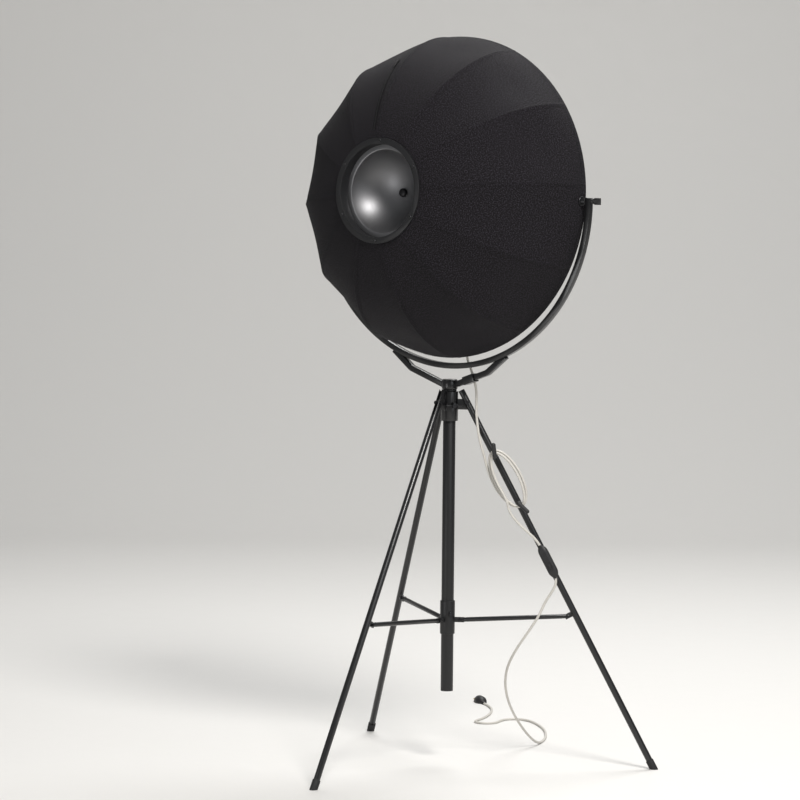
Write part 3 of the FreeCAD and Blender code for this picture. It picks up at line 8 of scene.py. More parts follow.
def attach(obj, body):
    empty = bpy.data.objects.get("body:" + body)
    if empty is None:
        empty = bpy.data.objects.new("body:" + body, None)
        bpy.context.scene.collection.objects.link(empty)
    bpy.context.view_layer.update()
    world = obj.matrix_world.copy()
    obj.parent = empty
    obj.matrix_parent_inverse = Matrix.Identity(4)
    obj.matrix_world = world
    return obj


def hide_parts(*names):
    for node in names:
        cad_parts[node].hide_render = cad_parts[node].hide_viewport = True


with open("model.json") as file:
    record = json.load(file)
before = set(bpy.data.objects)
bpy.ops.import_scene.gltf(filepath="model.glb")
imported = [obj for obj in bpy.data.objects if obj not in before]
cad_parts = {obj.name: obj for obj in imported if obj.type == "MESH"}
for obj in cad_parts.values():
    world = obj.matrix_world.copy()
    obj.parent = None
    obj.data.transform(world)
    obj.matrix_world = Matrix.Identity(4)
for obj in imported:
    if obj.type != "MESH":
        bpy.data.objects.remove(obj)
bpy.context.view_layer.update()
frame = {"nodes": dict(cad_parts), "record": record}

bodyOf = {node: body for body, nodes in frame["record"]["behaviour"]["bodies"].items() for node in nodes}

# The camera was found by a fit to the photograph. It looks at the lamp's back from the lamp's left.
view = {"lens": 181.79, "sensor": 36.0, "near": 0.1, "far": 80.0, "spot": (-6.28987, 8.17586, 1.74693),
        "ahead": (0.617555, -0.782618, -0.078328), "right": (-0.784579, -0.619969, 0.008653)}
camData = bpy.data.cameras.new("camera")
camData.lens = view["lens"]
camData.sensor_width = view["sensor"]
camData.clip_start = view["near"]
camData.clip_end = view["far"]
camObj = bpy.data.objects.new("camera", camData)
bpy.context.collection.objects.link(camObj)
camForward = Vector(view["ahead"]).normalized()
camRight = Vector(view["right"]).normalized()
camUp = camRight.cross(camForward).normalized()
camTurn = Matrix((camRight, camUp, -camForward)).transposed().to_4x4()
camObj.matrix_world = Matrix.Translation(view["spot"]) @ camTurn
bpy.context.scene.camera = camObj
bpy.context.scene.view_settings.view_transform = "Standard"
print("stage: camera")


def newMaterial(name, colour, rough, metal=0.0, coat=0.0, sheen=0.0, gloss=0.5):
    mat = bpy.data.materials.new(name)
    mat.use_nodes = True
    shader = mat.node_tree.nodes["Principled BSDF"]
    shader.inputs["Base Color"].default_value = (*colour, 1.0)
    shader.inputs["Roughness"].default_value = rough
    shader.inputs["Metallic"].default_value = metal
    shader.inputs["Specular IOR Level"].default_value = gloss
    shader.inputs["Coat Weight"].default_value = coat
    shader.inputs["Coat Roughness"].default_value = 0.2
    shader.inputs["Sheen Weight"].default_value = sheen
    return mat


def addNode(mat, kind, **settings):
    node = mat.node_tree.nodes.new(kind)
    for key, value in settings.items():
        setattr(node, key, value)
    return node


def noiseBump(mat, scale, distance, stretch=(1, 1, 1), coords="Object", rough=None):
    # A fine grain in the surface, and with rough a spread of roughness over it.
    links = mat.node_tree.links
    shader = mat.node_tree.nodes["Principled BSDF"]
    place = addNode(mat, "ShaderNodeTexCoord")
    mapping = addNode(mat, "ShaderNodeMapping")
    mapping.inputs["Scale"].default_value = stretch
    noise = addNode(mat, "ShaderNodeTexNoise")
    noise.inputs["Scale"].default_value = scale
    noise.inputs["Detail"].default_value = 2.0
    bump = addNode(mat, "ShaderNodeBump")
    bump.inputs["Distance"].default_value = distance
    bump.inputs["Strength"].default_value = 1.0
    links.new(place.outputs[coords], mapping.inputs["Vector"])
    links.new(mapping.outputs["Vector"], noise.inputs["Vector"])
    links.new(noise.outputs["Fac"], bump.inputs["Height"])
    links.new(bump.outputs["Normal"], shader.inputs["Normal"])
    if rough:
        spread = addNode(mat, "ShaderNodeMapRange")
        spread.inputs["To Min"].default_value = rough[0]
        spread.inputs["To Max"].default_value = rough[1]
        links.new(noise.outputs["Fac"], spread.inputs["Value"])
        links.new(spread.outputs["Result"], shader.inputs["Roughness"])
    return mat


bandPeriod = 0.314  # metres from band to band in a wave texture of scale 1


def weave(mat, pitch, dark, light, depth, flecks):
    # Threads over and under each other on the piece's own UV, in metres, with paler flecks.
    links = mat.node_tree.links
    shader = mat.node_tree.nodes["Principled BSDF"]
    place = addNode(mat, "ShaderNodeTexCoord")
    bands = []
    for way in ("X", "Y"):
        wave = addNode(mat, "ShaderNodeTexWave", wave_type="BANDS", bands_direction=way)
        wave.inputs["Scale"].default_value = bandPeriod / pitch
        wave.inputs["Distortion"].default_value = 0.6
        wave.inputs["Detail Scale"].default_value = 1.5
        links.new(place.outputs["UV"], wave.inputs["Vector"])
        bands.append(wave)
    cross = addNode(mat, "ShaderNodeMath", operation="MULTIPLY")
    links.new(bands[0].outputs["Fac"], cross.inputs[0])
    links.new(bands[1].outputs["Fac"], cross.inputs[1])
    fleck = addNode(mat, "ShaderNodeTexNoise")
    fleck.inputs["Scale"].default_value = flecks
    fleck.inputs["Detail"].default_value = 3.0
    links.new(place.outputs["UV"], fleck.inputs["Vector"])
    sharper = addNode(mat, "ShaderNodeMapRange")
    sharper.inputs["From Min"].default_value = 0.46
    sharper.inputs["From Max"].default_value = 0.66
    links.new(fleck.outputs["Fac"], sharper.inputs["Value"])
    mix = addNode(mat, "ShaderNodeMix", data_type="RGBA")
    darkSocket, lightSocket = [s for s in mix.inputs if s.type == "RGBA"]
    darkSocket.default_value = (*dark, 1.0)
    lightSocket.default_value = (*light, 1.0)
    mixedColour = [s for s in mix.outputs if s.type == "RGBA"][0]
    links.new(sharper.outputs["Result"], mix.inputs[0])
    links.new(mixedColour, shader.inputs["Base Color"])
    both = addNode(mat, "ShaderNodeMath", operation="ADD")
    links.new(cross.outputs[0], both.inputs[0])
    links.new(fleck.outputs["Fac"], both.inputs[1])
    bump = addNode(mat, "ShaderNodeBump")
    bump.inputs["Distance"].default_value = depth
    links.new(both.outputs[0], bump.inputs["Height"])
    links.new(bump.outputs["Normal"], shader.inputs["Normal"])
    return mat


# Metals, plastics and rubber.
blackPaint = noiseBump(newMaterial("blackPaint", (0.005, 0.005, 0.0055), 0.3, coat=0.15),
                       900, 0.00002, rough=(0.24, 0.38))
satinDark = noiseBump(newMaterial("satinDark", (0.006, 0.006, 0.0065), 0.4, metal=0.1),
                      700, 0.00002, rough=(0.34, 0.5))
ringDark = noiseBump(newMaterial("ringDark", (0.008, 0.008, 0.009), 0.45, metal=0.1),
                     1100, 0.00003, rough=(0.38, 0.5))
spunAluminium = noiseBump(newMaterial("spunAluminium", (0.2, 0.2, 0.207), 0.44, metal=1.0),
                          1500, 0.00004, stretch=(0.004, 1, 1), coords="UV", rough=(0.4, 0.54))
brushedSteel = noiseBump(newMaterial("brushedSteel", (0.36, 0.36, 0.37), 0.34, metal=1.0),
                         1500, 0.00002, rough=(0.28, 0.42))
blackSteel = noiseBump(newMaterial("blackSteel", (0.03, 0.03, 0.032), 0.36, metal=0.8),
                       1500, 0.00002, rough=(0.3, 0.44))
brightTube = noiseBump(newMaterial("brightTube", (0.55, 0.55, 0.56), 0.25, metal=1.0),
                       900, 0.00002, stretch=(1, 1, 0.05))
blackPlastic = noiseBump(newMaterial("blackPlastic", (0.01, 0.01, 0.0105), 0.5),
                         1600, 0.00006, rough=(0.44, 0.6))
footRubber = noiseBump(newMaterial("footRubber", (0.01, 0.01, 0.01), 0.72), 900, 0.0001)
cordSheath = noiseBump(newMaterial("cordSheath", (0.52, 0.5, 0.46), 0.42), 1800, 0.00004, rough=(0.38, 0.52))
plugBrass = noiseBump(newMaterial("plugBrass", (0.72, 0.58, 0.3), 0.24, metal=1.0), 1200, 0.00002)
frostedGlass = newMaterial("frostedGlass", (0.93, 0.92, 0.89), 0.38, coat=0.3)
frostedGlass.node_tree.nodes["Principled BSDF"].inputs["Transmission Weight"].default_value = 0.25

# Cloth and thread.
blackFabric = weave(newMaterial("blackFabric", (0.01, 0.009, 0.011), 0.82, sheen=0.01, gloss=0.18),
                    0.0013, (0.002, 0.0016, 0.0022), (0.026, 0.0225, 0.0295), 0.0006, 330)
whiteFabric = weave(newMaterial("whiteFabric", (0.8, 0.8, 0.77), 0.85, sheen=0.1),
                    0.0009, (0.72, 0.72, 0.7), (0.86, 0.86, 0.84), 0.0003, 500)
blackThread = noiseBump(newMaterial("blackThread", (0.004, 0.0036, 0.0043), 0.75, gloss=0.15), 2500, 0.0001)
whiteThread = noiseBump(newMaterial("whiteThread", (0.82, 0.82, 0.8), 0.7), 2500, 0.0001)

paleFloor = noiseBump(newMaterial("paleFloor", (0.7, 0.69, 0.67), 0.6), 14, 0.0008, rough=(0.48, 0.62))
print("stage: materials")


def meshFrom(shape, name):
    # Turns a bmesh into a mesh with its faces outwards.
    bmesh.ops.recalc_face_normals(shape, faces=shape.faces)
    mesh = bpy.data.meshes.new(name)
    shape.to_mesh(mesh)
    shape.free()
    return mesh


def makePiece(name, mesh, material, sharp=40):
    for poly in mesh.polygons:
        poly.use_smooth = True
    mesh.set_sharp_from_angle(angle=math.radians(sharp))
    mesh.materials.clear()
    mesh.materials.append(material)
    piece = bpy.data.objects.new(name, mesh)
    bpy.context.collection.objects.link(piece)
    return piece


def placeOn(piece, node, slotName, *more):
    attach(piece, bodyOf[node])
    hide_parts(node, *more)
    return piece


def rideOn(piece, body):
    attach(piece, body)
    return piece


def baked(piece):
    # The piece's mesh with its modifiers in it; the modifiers go.
    bpy.context.view_layer.update()
    graph = bpy.context.evaluated_depsgraph_get()
    mesh = bpy.data.meshes.new_from_object(piece.evaluated_get(graph))
    piece.modifiers.clear()
    return mesh


def dress(node, material, slotName, bevel=0.0006, sharp=40):
    # A CAD piece with rounded edges and its finish.
    mesh = frame["nodes"][node].data.copy()
    sharpEdge = math.radians(35)
    shape = bmesh.new()
    shape.from_mesh(mesh)
    bmesh.ops.remove_doubles(shape, verts=shape.verts, dist=2e-6)
    bmesh.ops.dissolve_limit(shape, angle_limit=math.radians(0.4), verts=shape.verts, edges=shape.edges)
    if bevel:
        edges = [e for e in shape.edges if len(e.link_faces) == 2 and e.calc_face_angle(0) > sharpEdge]
        bmesh.ops.bevel(shape, geom=edges, offset=bevel, segments=2, affect="EDGES", profile=0.5,
                        clamp_overlap=True)
    shape.to_mesh(mesh)
    shape.free()
    return placeOn(makePiece(node + "_dressed", mesh, material, sharp), node, slotName)


def lathe(name, outline, place, steps, material, closed=False, sharp=35):
    # A turned piece: outline holds (radius, height) pairs; place carries it into the row frame.
    shape = bmesh.new()
    uvLayer = shape.loops.layers.uv.new("uv")
    rows = []
    for radius, height in outline:
        if radius < 1e-6:
            rows.append([shape.verts.new(place @ Vector((0, 0, height)))])
            continue
        rows.append([shape.verts.new(place @ Vector((radius * math.cos(a), radius * math.sin(a), height)))
                     for a in (2 * math.pi * i / steps for i in range(steps))])
    gone = 0.0
    pairs = list(zip(range(len(rows)), range(1, len(rows))))
    if closed:
        pairs.append((len(rows) - 1, 0))
    widest = max(radius for radius, height in outline)
    for low, high in pairs:
        step = math.dist(outline[low], outline[high])
        for i in range(steps):
            j = (i + 1) % steps
            a, b = rows[low], rows[high]
            if len(a) == 1 and len(b) == 1:
                continue
            lowSide = [(a[0], i, 0)] if len(a) == 1 else [(a[i], i, 0), (a[j], i + 1, 0)]
            highSide = [(b[0], i, 1)] if len(b) == 1 else [(b[j], i + 1, 1), (b[i], i, 1)]
            corners = lowSide + highSide
            face = shape.faces.new([vert for vert, turn, side in corners])
            for loop, (vert, turn, side) in zip(face.loops, corners):
                loop[uvLayer].uv = (turn / steps * 2 * math.pi * widest, gone + side * step)
        gone += step
    return makePiece(name, meshFrom(shape, name), material, sharp)


def polyline(name, tracks):
    # A mesh of bare edges, one run per track.
    verts, edges = [], []
    for track in tracks:
        first = len(verts)
        verts += [tuple(p) for p in track]
        edges += [(first + i, first + i + 1) for i in range(len(track) - 1)]
    mesh = bpy.data.meshes.new(name)
    mesh.from_pydata(verts, edges, [])
    piece = bpy.data.objects.new(name, mesh)
    bpy.context.collection.objects.link(piece)
    return piece


def repeated(name, tracks, unit, spacing, material):
    # Copies of unit along each track, its Z along the track; one point per copy if spacing is None.
    carrier = polyline(name, tracks)
    tree = bpy.data.node_groups.new(name + "Nodes", "GeometryNodeTree")
    tree.is_modifier = True
    tree.interface.new_socket("Geometry", in_out="INPUT", socket_type="NodeSocketGeometry")
    tree.interface.new_socket("Geometry", in_out="OUTPUT", socket_type="NodeSocketGeometry")
    spacingSocket = tree.interface.new_socket("Spacing", in_out="INPUT", socket_type="NodeSocketFloat")
    source = tree.nodes.new("NodeGroupInput")
    result = tree.nodes.new("NodeGroupOutput")
    copies = tree.nodes.new("GeometryNodeInstanceOnPoints")
    info = tree.nodes.new("GeometryNodeObjectInfo")
    info.inputs["Object"].default_value = unit
    real = tree.nodes.new("GeometryNodeRealizeInstances")
    paint = tree.nodes.new("GeometryNodeSetMaterial")
    paint.inputs["Material"].default_value = material
    links = tree.links
    if spacing:
        line = tree.nodes.new("GeometryNodeMeshToCurve")
        dots = tree.nodes.new("GeometryNodeCurveToPoints")
        dots.mode = "LENGTH"
        links.new(source.outputs["Spacing"], dots.inputs["Length"])
        links.new(source.outputs["Geometry"], line.inputs["Mesh"])
        links.new(line.outputs["Curve"], dots.inputs["Curve"])
        links.new(dots.outputs["Points"], copies.inputs["Points"])
        links.new(dots.outputs["Rotation"], copies.inputs["Rotation"])
    else:
        links.new(source.outputs["Geometry"], copies.inputs["Points"])
    links.new(info.outputs["Geometry"], copies.inputs["Instance"])
    links.new(copies.outputs["Instances"], real.inputs["Geometry"])
    links.new(real.outputs["Geometry"], paint.inputs["Geometry"])
    links.new(paint.outputs["Geometry"], result.inputs[0])
    modifier = carrier.modifiers.new("repeat", "NODES")
    modifier.node_group = tree
    modifier[spacingSocket.identifier] = float(spacing or 0)
    mesh = baked(carrier)
    bpy.data.objects.remove(carrier)
    bpy.data.objects.remove(unit)
    return makePiece(name, mesh, material)


def capsule(name, radius, long):
    # A stitch: a short rounded rod along Z.
    half = long / 2 - radius
    shoulder = 0.8  # radians
    outline = [(0, -half - radius)]
    outline += [(radius * math.cos(a), -half + radius * math.sin(a)) for a in (-shoulder, 0.0)]
    outline += [(radius * math.cos(a), half + radius * math.sin(a)) for a in (0.0, shoulder)]
    outline += [(0, half + radius)]
    return lathe(name, outline, Matrix(), 6, blackThread)


# The lamp's own frames: the head on its tilt axis, and the leg that carries the cord. Metres.
lamp = {"pivotHeight": 1.457, "headTilt": math.radians(4), "footOut": 0.537, "legTopOut": 0.036,
        "legTopHeight": 0.952, "cordLeg": math.radians(210)}
pivotPlace = Matrix.Translation((0, 0, lamp["pivotHeight"]))
tiltSin, tiltCos = math.sin(lamp["headTilt"]), math.cos(lamp["headTilt"])
headTurn = Matrix(((1, 0, 0), (0, tiltSin, tiltCos), (0, -tiltCos, tiltSin)))
headPlace = pivotPlace @ headTurn.to_4x4()
legLean = math.atan((lamp["footOut"] - lamp["legTopOut"]) / lamp["legTopHeight"])
legOut = Vector((math.cos(lamp["cordLeg"]), math.sin(lamp["cordLeg"]), 0))
legUp = legOut * -math.sin(legLean) + Vector((0, 0, math.cos(legLean)))
legNormal = legOut * math.cos(legLean) + Vector((0, 0, math.sin(legLean)))
legNear = Vector((math.sin(lamp["cordLeg"]), -math.cos(lamp["cordLeg"]), 0))


def onLeg(along, out, near):
    # A point by the cord's leg: millimetres up the leg, outwards from it and to its near side.
    return legOut * lamp["footOut"] + (legUp * along + legNormal * out + legNear * near) / 1000


def mm(*points):
    return [Vector(p) / 1000 for p in points]


cordSize = {"radius": 0.00325, "diameter": 0.0065}


def makeCord(name, points, node):
    curve = bpy.data.curves.new(name, "CURVE")
    curve.dimensions = "3D"
    curve.bevel_depth = cordSize["radius"]
    curve.bevel_resolution = 6
    curve.resolution_u = 10
    curve.use_fill_caps = True
    spline = curve.splines.new("NURBS")
    spline.points.add(len(points) - 1)
    for spot, point in zip(spline.points, points):
        spot.co = (*point, 1.0)
    spline.order_u = 3
    spline.use_endpoint_u = True
    curve.materials.append(cordSheath)
    piece = bpy.data.objects.new(name, curve)
    bpy.context.collection.objects.link(piece)
    placeOn(piece, node, "cord_grey")


# The hank on the two hooks of the leg, in millimetres.
hank = {"turns": 2, "halfLong": 76, "halfWide": 36, "out": 5, "near": 12, "pitch": 7.6, "middle": 833,
        "start": math.radians(165), "past": math.radians(25), "steps": 29, "tail": 6.5, "leave": 24,
        "reach": 26, "swell": 0.07, "swellPerTurn": 1.7, "swellFrom": 0.4, "widest": 1.1, "narrowing": 0.17}
hank["end"] = hank["start"] + 2 * math.pi * hank["turns"] + hank["past"]


def hankPoint(angle):
    gone = (angle - hank["start"]) / (2 * math.pi)
    swell = 1 + hank["swell"] * math.sin(hank["swellPerTurn"] * gone + hank["swellFrom"])
    along = hank["middle"] + hank["halfLong"] * math.sin(angle) * swell
    out = hank["out"] + hank["halfWide"] * math.cos(angle) * (hank["widest"] - hank["narrowing"] * gone)
    return onLeg(along, out, hank["near"] + hank["pitch"] * gone)


def hankWay(angle):
    return (hankPoint(angle + 1e-4) - hankPoint(angle - 1e-4)).normalized()


hankTurn = hank["end"] - hank["start"]
hankAngles = [hank["start"] + hankTurn * i / hank["steps"] for i in range(hank["steps"] + 1)]
startWay, endWay = hankWay(hank["start"]), hankWay(hank["end"])
hankEntry = hankPoint(hank["start"]) - startWay * hank["tail"] / 1000
hankExit = hankPoint(hank["end"]) + endWay * hank["tail"] / 1000
hankPoints = [hankEntry] + [hankPoint(a) for a in hankAngles] + [hankExit]

# The cord's route from the head to the plug, given point by point, in millimetres.
clipRing = Vector((-58, -22, 1002)) / 1000
clipWay = Vector((0.3, 0.1, 0.949)).normalized() * 0.015
tiltPoints = mm((-33, -26, 1088), (-33, -26, 1064), (-36.5, -24.5, 1048), (-44.5, -21.5, 1032))
tiltPoints += [clipRing + clipWay, clipRing]
panPoints = [clipRing, clipRing - clipWay] + mm((-64.3, -26.5, 970), (-64.5, -29, 954), (-64.5, -29, 938))
liftPoints = mm((-64.5, -29, 938), (-64.5, -29, 922), (-67, -25.8, 905), (-70.4, -23.9, 888),
                (-73.8, -23.3, 870), (-77, -24, 850), (-81.6, -26.8, 827), (-88, -31.4, 801))
liftPoints += [hankEntry - startWay * hank["leave"] / 1000, hankEntry]
dimmer = {"along": 598, "out": 2.5, "near": 19.55, "half": 42}
dimmerIn = onLeg(dimmer["along"] + dimmer["half"], dimmer["out"], dimmer["near"])
dimmerExit = onLeg(dimmer["along"] - dimmer["half"], dimmer["out"], dimmer["near"])
runPoints = [hankExit, hankExit + endWay * hank["reach"] / 1000, onLeg(755, -28, 27), onLeg(727, -23, 25),
             onLeg(702, -15, 23.5), onLeg(680, -6, 22), onLeg(660, 0.5, 20.5), dimmerIn]
floorPoints = [dimmerExit, onLeg(539, -3.5, 19.3), onLeg(524, -24, 16.5), onLeg(508, -54, 10)]
floorPoints += mm((-214, -105, 388), (-188, -95, 346), (-156, -89, 301), (-121, -99, 254), (-89, -130, 207),
                  (-62, -175, 158), (-42, -226, 112), (-29, -277, 70), (-24, -322, 34), (-20, -362, 10))
onFloor = [(-10, -398), (20, -460), (62, -520), (104, -572), (150, -616), (194, -652), (229, -674),
           (260, -682), (285, -673), (297, -651), (294, -626), (286, -606), (282, -588), (288, -569),
           (304, -557), (324, -557), (340, -569), (347, -589), (352, -616), (366, -656), (390, -706),
           (424, -760), (466, -806), (512, -840)]
floorPoints += mm(*[(x, y, cordSize["radius"] * 1000) for x, y in onFloor])
leadStart = headPlace @ Vector((0, 0, 0.1663)) + Vector((0, 0, -0.018))  # below the lampholder's middle
leadPoints = [leadStart + p for p in mm((0, 0, 0), (0, 0, -22), (-3, -14, -52), (-7, -38, -92),
                                        (-12, -66, -136), (-18, -96, -184))]
leadPoints += [tiltPoints[0] + p for p in mm((-1, 24, 110), (-1.5, 5, 66), (0, 0, 34), (0, 0, 0))]

# The plug is built before the cord that carries it. Metres along its axis from the cord's end.
plugSizes = {"ridges": 4, "firstRidge": 0.0012, "ridgePitch": 0.0037, "ridgeGrow": 0.00035, "tail": 0.016,
             "wide": 0.0162, "halfFlat": 0.00325}
plugWay = (floorPoints[-1] - floorPoints[-2]).normalized()
plugSide = Vector((0, 0, 1)).cross(plugWay)
plugTurn = Matrix((Vector((0, 0, -1)), plugSide, plugWay)).transposed().to_4x4()
plugPlace = Matrix.Translation(floorPoints[-1]) @ plugTurn
plugOutline = [(0, 0), (0.0044, 0)]
for ridge in range(plugSizes["ridges"]):
    at = plugSizes["firstRidge"] + ridge * plugSizes["ridgePitch"]
    grow = plugSizes["ridgeGrow"] * ridge
    plugOutline += [(0.0048 + grow, at), (0.0054 + grow, at + 0.0006), (0.0054 + grow, at + 0.0022),
                    (0.0046 + grow, at + 0.0027)]
plugOutline += [(0.007, plugSizes["tail"]), (0.0117, 0.0196), (0.0139, 0.0252), (0.0158, 0.0295)]
plugOutline += [(plugSizes["wide"], 0.0315), (plugSizes["wide"], 0.034), (0.0156, 0.0345), (0.0156, 0.0355)]
plugOutline += [(plugSizes["wide"], 0.036), (plugSizes["wide"], 0.0505), (0.0155, 0.0517), (0.014, 0.052),
                (0, 0.052)]
plug = lathe("plugShell", plugOutline, Matrix(), 64, blackPlastic)
for vert in plug.data.vertices:
    vert.co.x = min(vert.co.x, plugSizes["halfFlat"])  # flat on the side that lies on the floor
    vert.co = plugPlace @ vert.co
placeOn(plug, "plug_body", "black_plastic")
pins = dress("plug_pins", plugBrass, "brass", bevel=0.0007)

makeCord("leadCord", leadPoints, "inner_lead")
makeCord("yokeCord", tiltPoints, "cord_at_yoke")
makeCord("swivelCord", panPoints, "cord_at_swivel")
makeCord("mastCord", liftPoints, "cord_at_mast")
makeCord("hankCord", hankPoints, "cord_hank")
makeCord("runCord", runPoints, "cord_to_dimmer")
makeCord("floorCord", floorPoints, "cord_on_floor")
print("stage: cords")


# The dome: an elliptic profile on twelve ribs, the first one a little off the tilt axis. Depths run
# backwards from the rim, in metres.
dome = {"rim": 0.410, "deep": 0.332, "setback": 0.314, "ribs": 12, "lead": 0.014, "collar": 0.1213,
        "turn": math.radians(6), "sag": 0.0035, "ridge": 0.0006, "pivotBore": 0.0084,
        "hemOut": 0.404, "hemRadius": 0.006}
gore = 2 * math.pi / dome["ribs"]
fullTurn = math.asin(dome["setback"] / dome["deep"])
halfShares = [0, 0.008, 0.018, 0.035, 0.065, 0.11, 0.18, 0.27, 0.38, 0.5]  # closer together by a rib
goreShares = halfShares + [1 - share for share in reversed(halfShares[1:-1])]

# How a gore is drawn between its ribs: shares of the profile t, widths and depths in metres.
cloth = {"straightens": 3.75, "sagGrows": 3, "sagEases": 0.8, "ridgeWide": 0.0045, "dipOff": 0.011,
         "dipWide": 0.004, "dipDeep": 0.0005, "gatherFrom": 0.86, "gatherDeep": 0.0007, "gathers": 5}


def domeRadius(depth, inset=0.0):
    share = min(max(depth, 0) / (dome["deep"] - inset), 1)
    return (dome["rim"] - inset) * math.sqrt(1 - share * share)


def goreRadius(radius, share, t, sag, ridge):
    # Round at the rim and straight between the ribs further back, drawn in a little, with a ridge on
    # each rib and small gathers at the rear ring.
    chord = radius * math.cos(gore / 2) / math.cos((share - 0.5) * gore)
    roundness = max(0.0, 1 - t * cloth["straightens"])
    eased = 1 - 0.6 * max(0, t - cloth["sagEases"]) / (1 - cloth["sagEases"])
    off = min(share, 1 - share) * gore * radius
    pull = max(0.0, (t - cloth["gatherFrom"]) / (1 - cloth["gatherFrom"]))
    bow = math.sin(math.pi * share)
    result = radius * roundness + chord * (1 - roundness)
    result -= sag * bow ** 1.5 * min(1.0, t * cloth["sagGrows"]) * eased
    result += ridge * math.exp(-(off / cloth["ridgeWide"]) ** 2)
    result -= cloth["dipDeep"] * math.exp(-((off - cloth["dipOff"]) / cloth["dipWide"]) ** 2)
    return result + cloth["gatherDeep"] * pull * math.sin(2 * math.pi * share * cloth["gathers"]) * bow


def depthAt(t, start=0.0, stop=dome["setback"]):
    # Depth behind the rim at share t of the profile, in even steps of its angle.
    return start + (stop - start) * math.sin(fullTurn * t) / math.sin(fullTurn)


def domeSkin(name, inset, start, rows, sag, ridge, hem, thick, material):
    # One layer of cloth from the rim to the rear ring, with a hem round the hoop where it is the outer one.
    stop = dome["setback"] - inset
    rings = []
    if hem:
        for a in (math.radians(turn) for turn in range(140, 360, 20)):  # round the hoop's outer side
            hemSpot = (dome["hemOut"] + dome["hemRadius"] * math.cos(a), dome["hemRadius"] * math.sin(a))
            rings.append(("hem", *hemSpot, 0.0))
    for i in range(rows + 1):
        t = i / rows
        depth = depthAt(t, start, stop)
        rings.append(("skin", domeRadius(depth, inset), depth, t))
    rings.append(("collar", dome["collar"], stop, 1.0))
    shape = bmesh.new()
    uvLayer = shape.loops.layers.uv.new("uv")
    grid, marks = [], []
    along = 0.0
    before = None
    columns = [(g, share) for g in range(dome["ribs"]) for share in goreShares]
    for kind, radius, depth, t in rings:
        if before is not None:
            along += math.dist(before, (radius, depth))
        before = (radius, depth)
        line, places = [], []
        for g, share in columns:
            angle = (g + share) * gore + dome["turn"]
            r = goreRadius(radius, share, t, sag, ridge) if kind == "skin" else radius
            spot = Vector((r * math.cos(angle), r * math.sin(angle), depth - dome["lead"]))
            line.append(shape.verts.new(headPlace @ spot))
            places.append((share - 0.5) * gore * radius + g * 0.37)  # each gore has its own patch of cloth
        grid.append(line)
        marks.append((places, along, radius))
    count = len(columns)
    for i in range(len(grid) - 1):
        for j in range(count):
            k = (j + 1) % count
            face = shape.faces.new((grid[i][j], grid[i][k], grid[i + 1][k], grid[i + 1][j]))
            near, nearAlong, nearRadius = marks[i]
            far, farAlong, farRadius = marks[i + 1]
            stepAngle = (columns[k][1] - columns[j][1]) % 1 * gore
            corners = [(near[j], nearAlong), (near[j] + stepAngle * nearRadius, nearAlong),
                       (far[j] + stepAngle * farRadius, farAlong), (far[j], farAlong)]
            for loop, corner in zip(face.loops, corners):
                loop[uvLayer].uv = corner
    mesh = meshFrom(shape, name)
    outward = sum(p.normal.dot(p.center - headPlace.translation) for p in mesh.polygons)
    if outward < 0:
        mesh.flip_normals()
    piece = makePiece(name, mesh, material, 60)
    thicken = piece.modifiers.new("thick", "SOLIDIFY")
    thicken.thickness = thick
    thicken.offset = -1
    bore = dome["pivotBore"]
    cutter = lathe("pivotCutter", [(0, -0.5), (bore, -0.5), (bore, 0.5), (0, 0.5)],
                   pivotPlace @ Matrix.Rotation(math.radians(90), 4, "Y"), 32, material)
    hole = piece.modifiers.new("holes", "BOOLEAN")
    hole.operation = "DIFFERENCE"
    hole.solver = "EXACT"
    hole.object = cutter
    mesh = baked(piece)
    bpy.data.objects.remove(piece)
    bpy.data.objects.remove(cutter)
    return makePiece(name, mesh, material, 50)


outer = domeSkin("domeFabric", 0.0, 0.0005, 54, dome["sag"], dome["ridge"], True, 0.0011, blackFabric)
placeOn(outer, "dome_fabric", "black_fabric")
inner = domeSkin("domeLining", 0.0082, 0.0085, 40, 0.003, 0.0, False, 0.0008, whiteFabric)
placeOn(inner, "dome_lining", "white_fabric")
print("stage: dome skins")


def ribTrack(angle, inset, first, last, steps, aside=0.0):
    # Points over one rib's line, or beside it.
    track = []
    for i in range(steps + 1):
        t = first + (last - first) * i / steps
        depth = depthAt(t)
        r = domeRadius(depth, inset)
        turn = angle + dome["turn"] + aside / r
        share = ((turn - dome["turn"]) % gore) / gore
        r = goreRadius(r, share, t, dome["sag"], dome["ridge"]) if aside else r
        track.append(headPlace @ Vector((r * math.cos(turn), r * math.sin(turn), depth - dome["lead"])))
    return track


ribWire = {"radius": 0.0025, "inset": 0.0046, "first": 0.02, "last": 0.955}
ribCurve = bpy.data.curves.new("ribCurve", "CURVE")
ribCurve.dimensions = "3D"
ribCurve.bevel_depth = ribWire["radius"]
ribCurve.bevel_resolution = 3
ribCurve.use_fill_caps = True
for rib in range(dome["ribs"]):
    track = ribTrack(rib * gore, ribWire["inset"], ribWire["first"], ribWire["last"], 30)
    spline = ribCurve.splines.new("POLY")
    spline.points.add(len(track) - 1)
    for spot, point in zip(spline.points, track):
        spot.co = (*point, 1.0)
ribCarrier = bpy.data.objects.new("ribCarrier", ribCurve)
bpy.context.collection.objects.link(ribCarrier)
ribs = makePiece("domeRibs", baked(ribCarrier), brushedSteel)
bpy.data.objects.remove(ribCarrier)
placeOn(ribs, "dome_ribs", "black_paint")

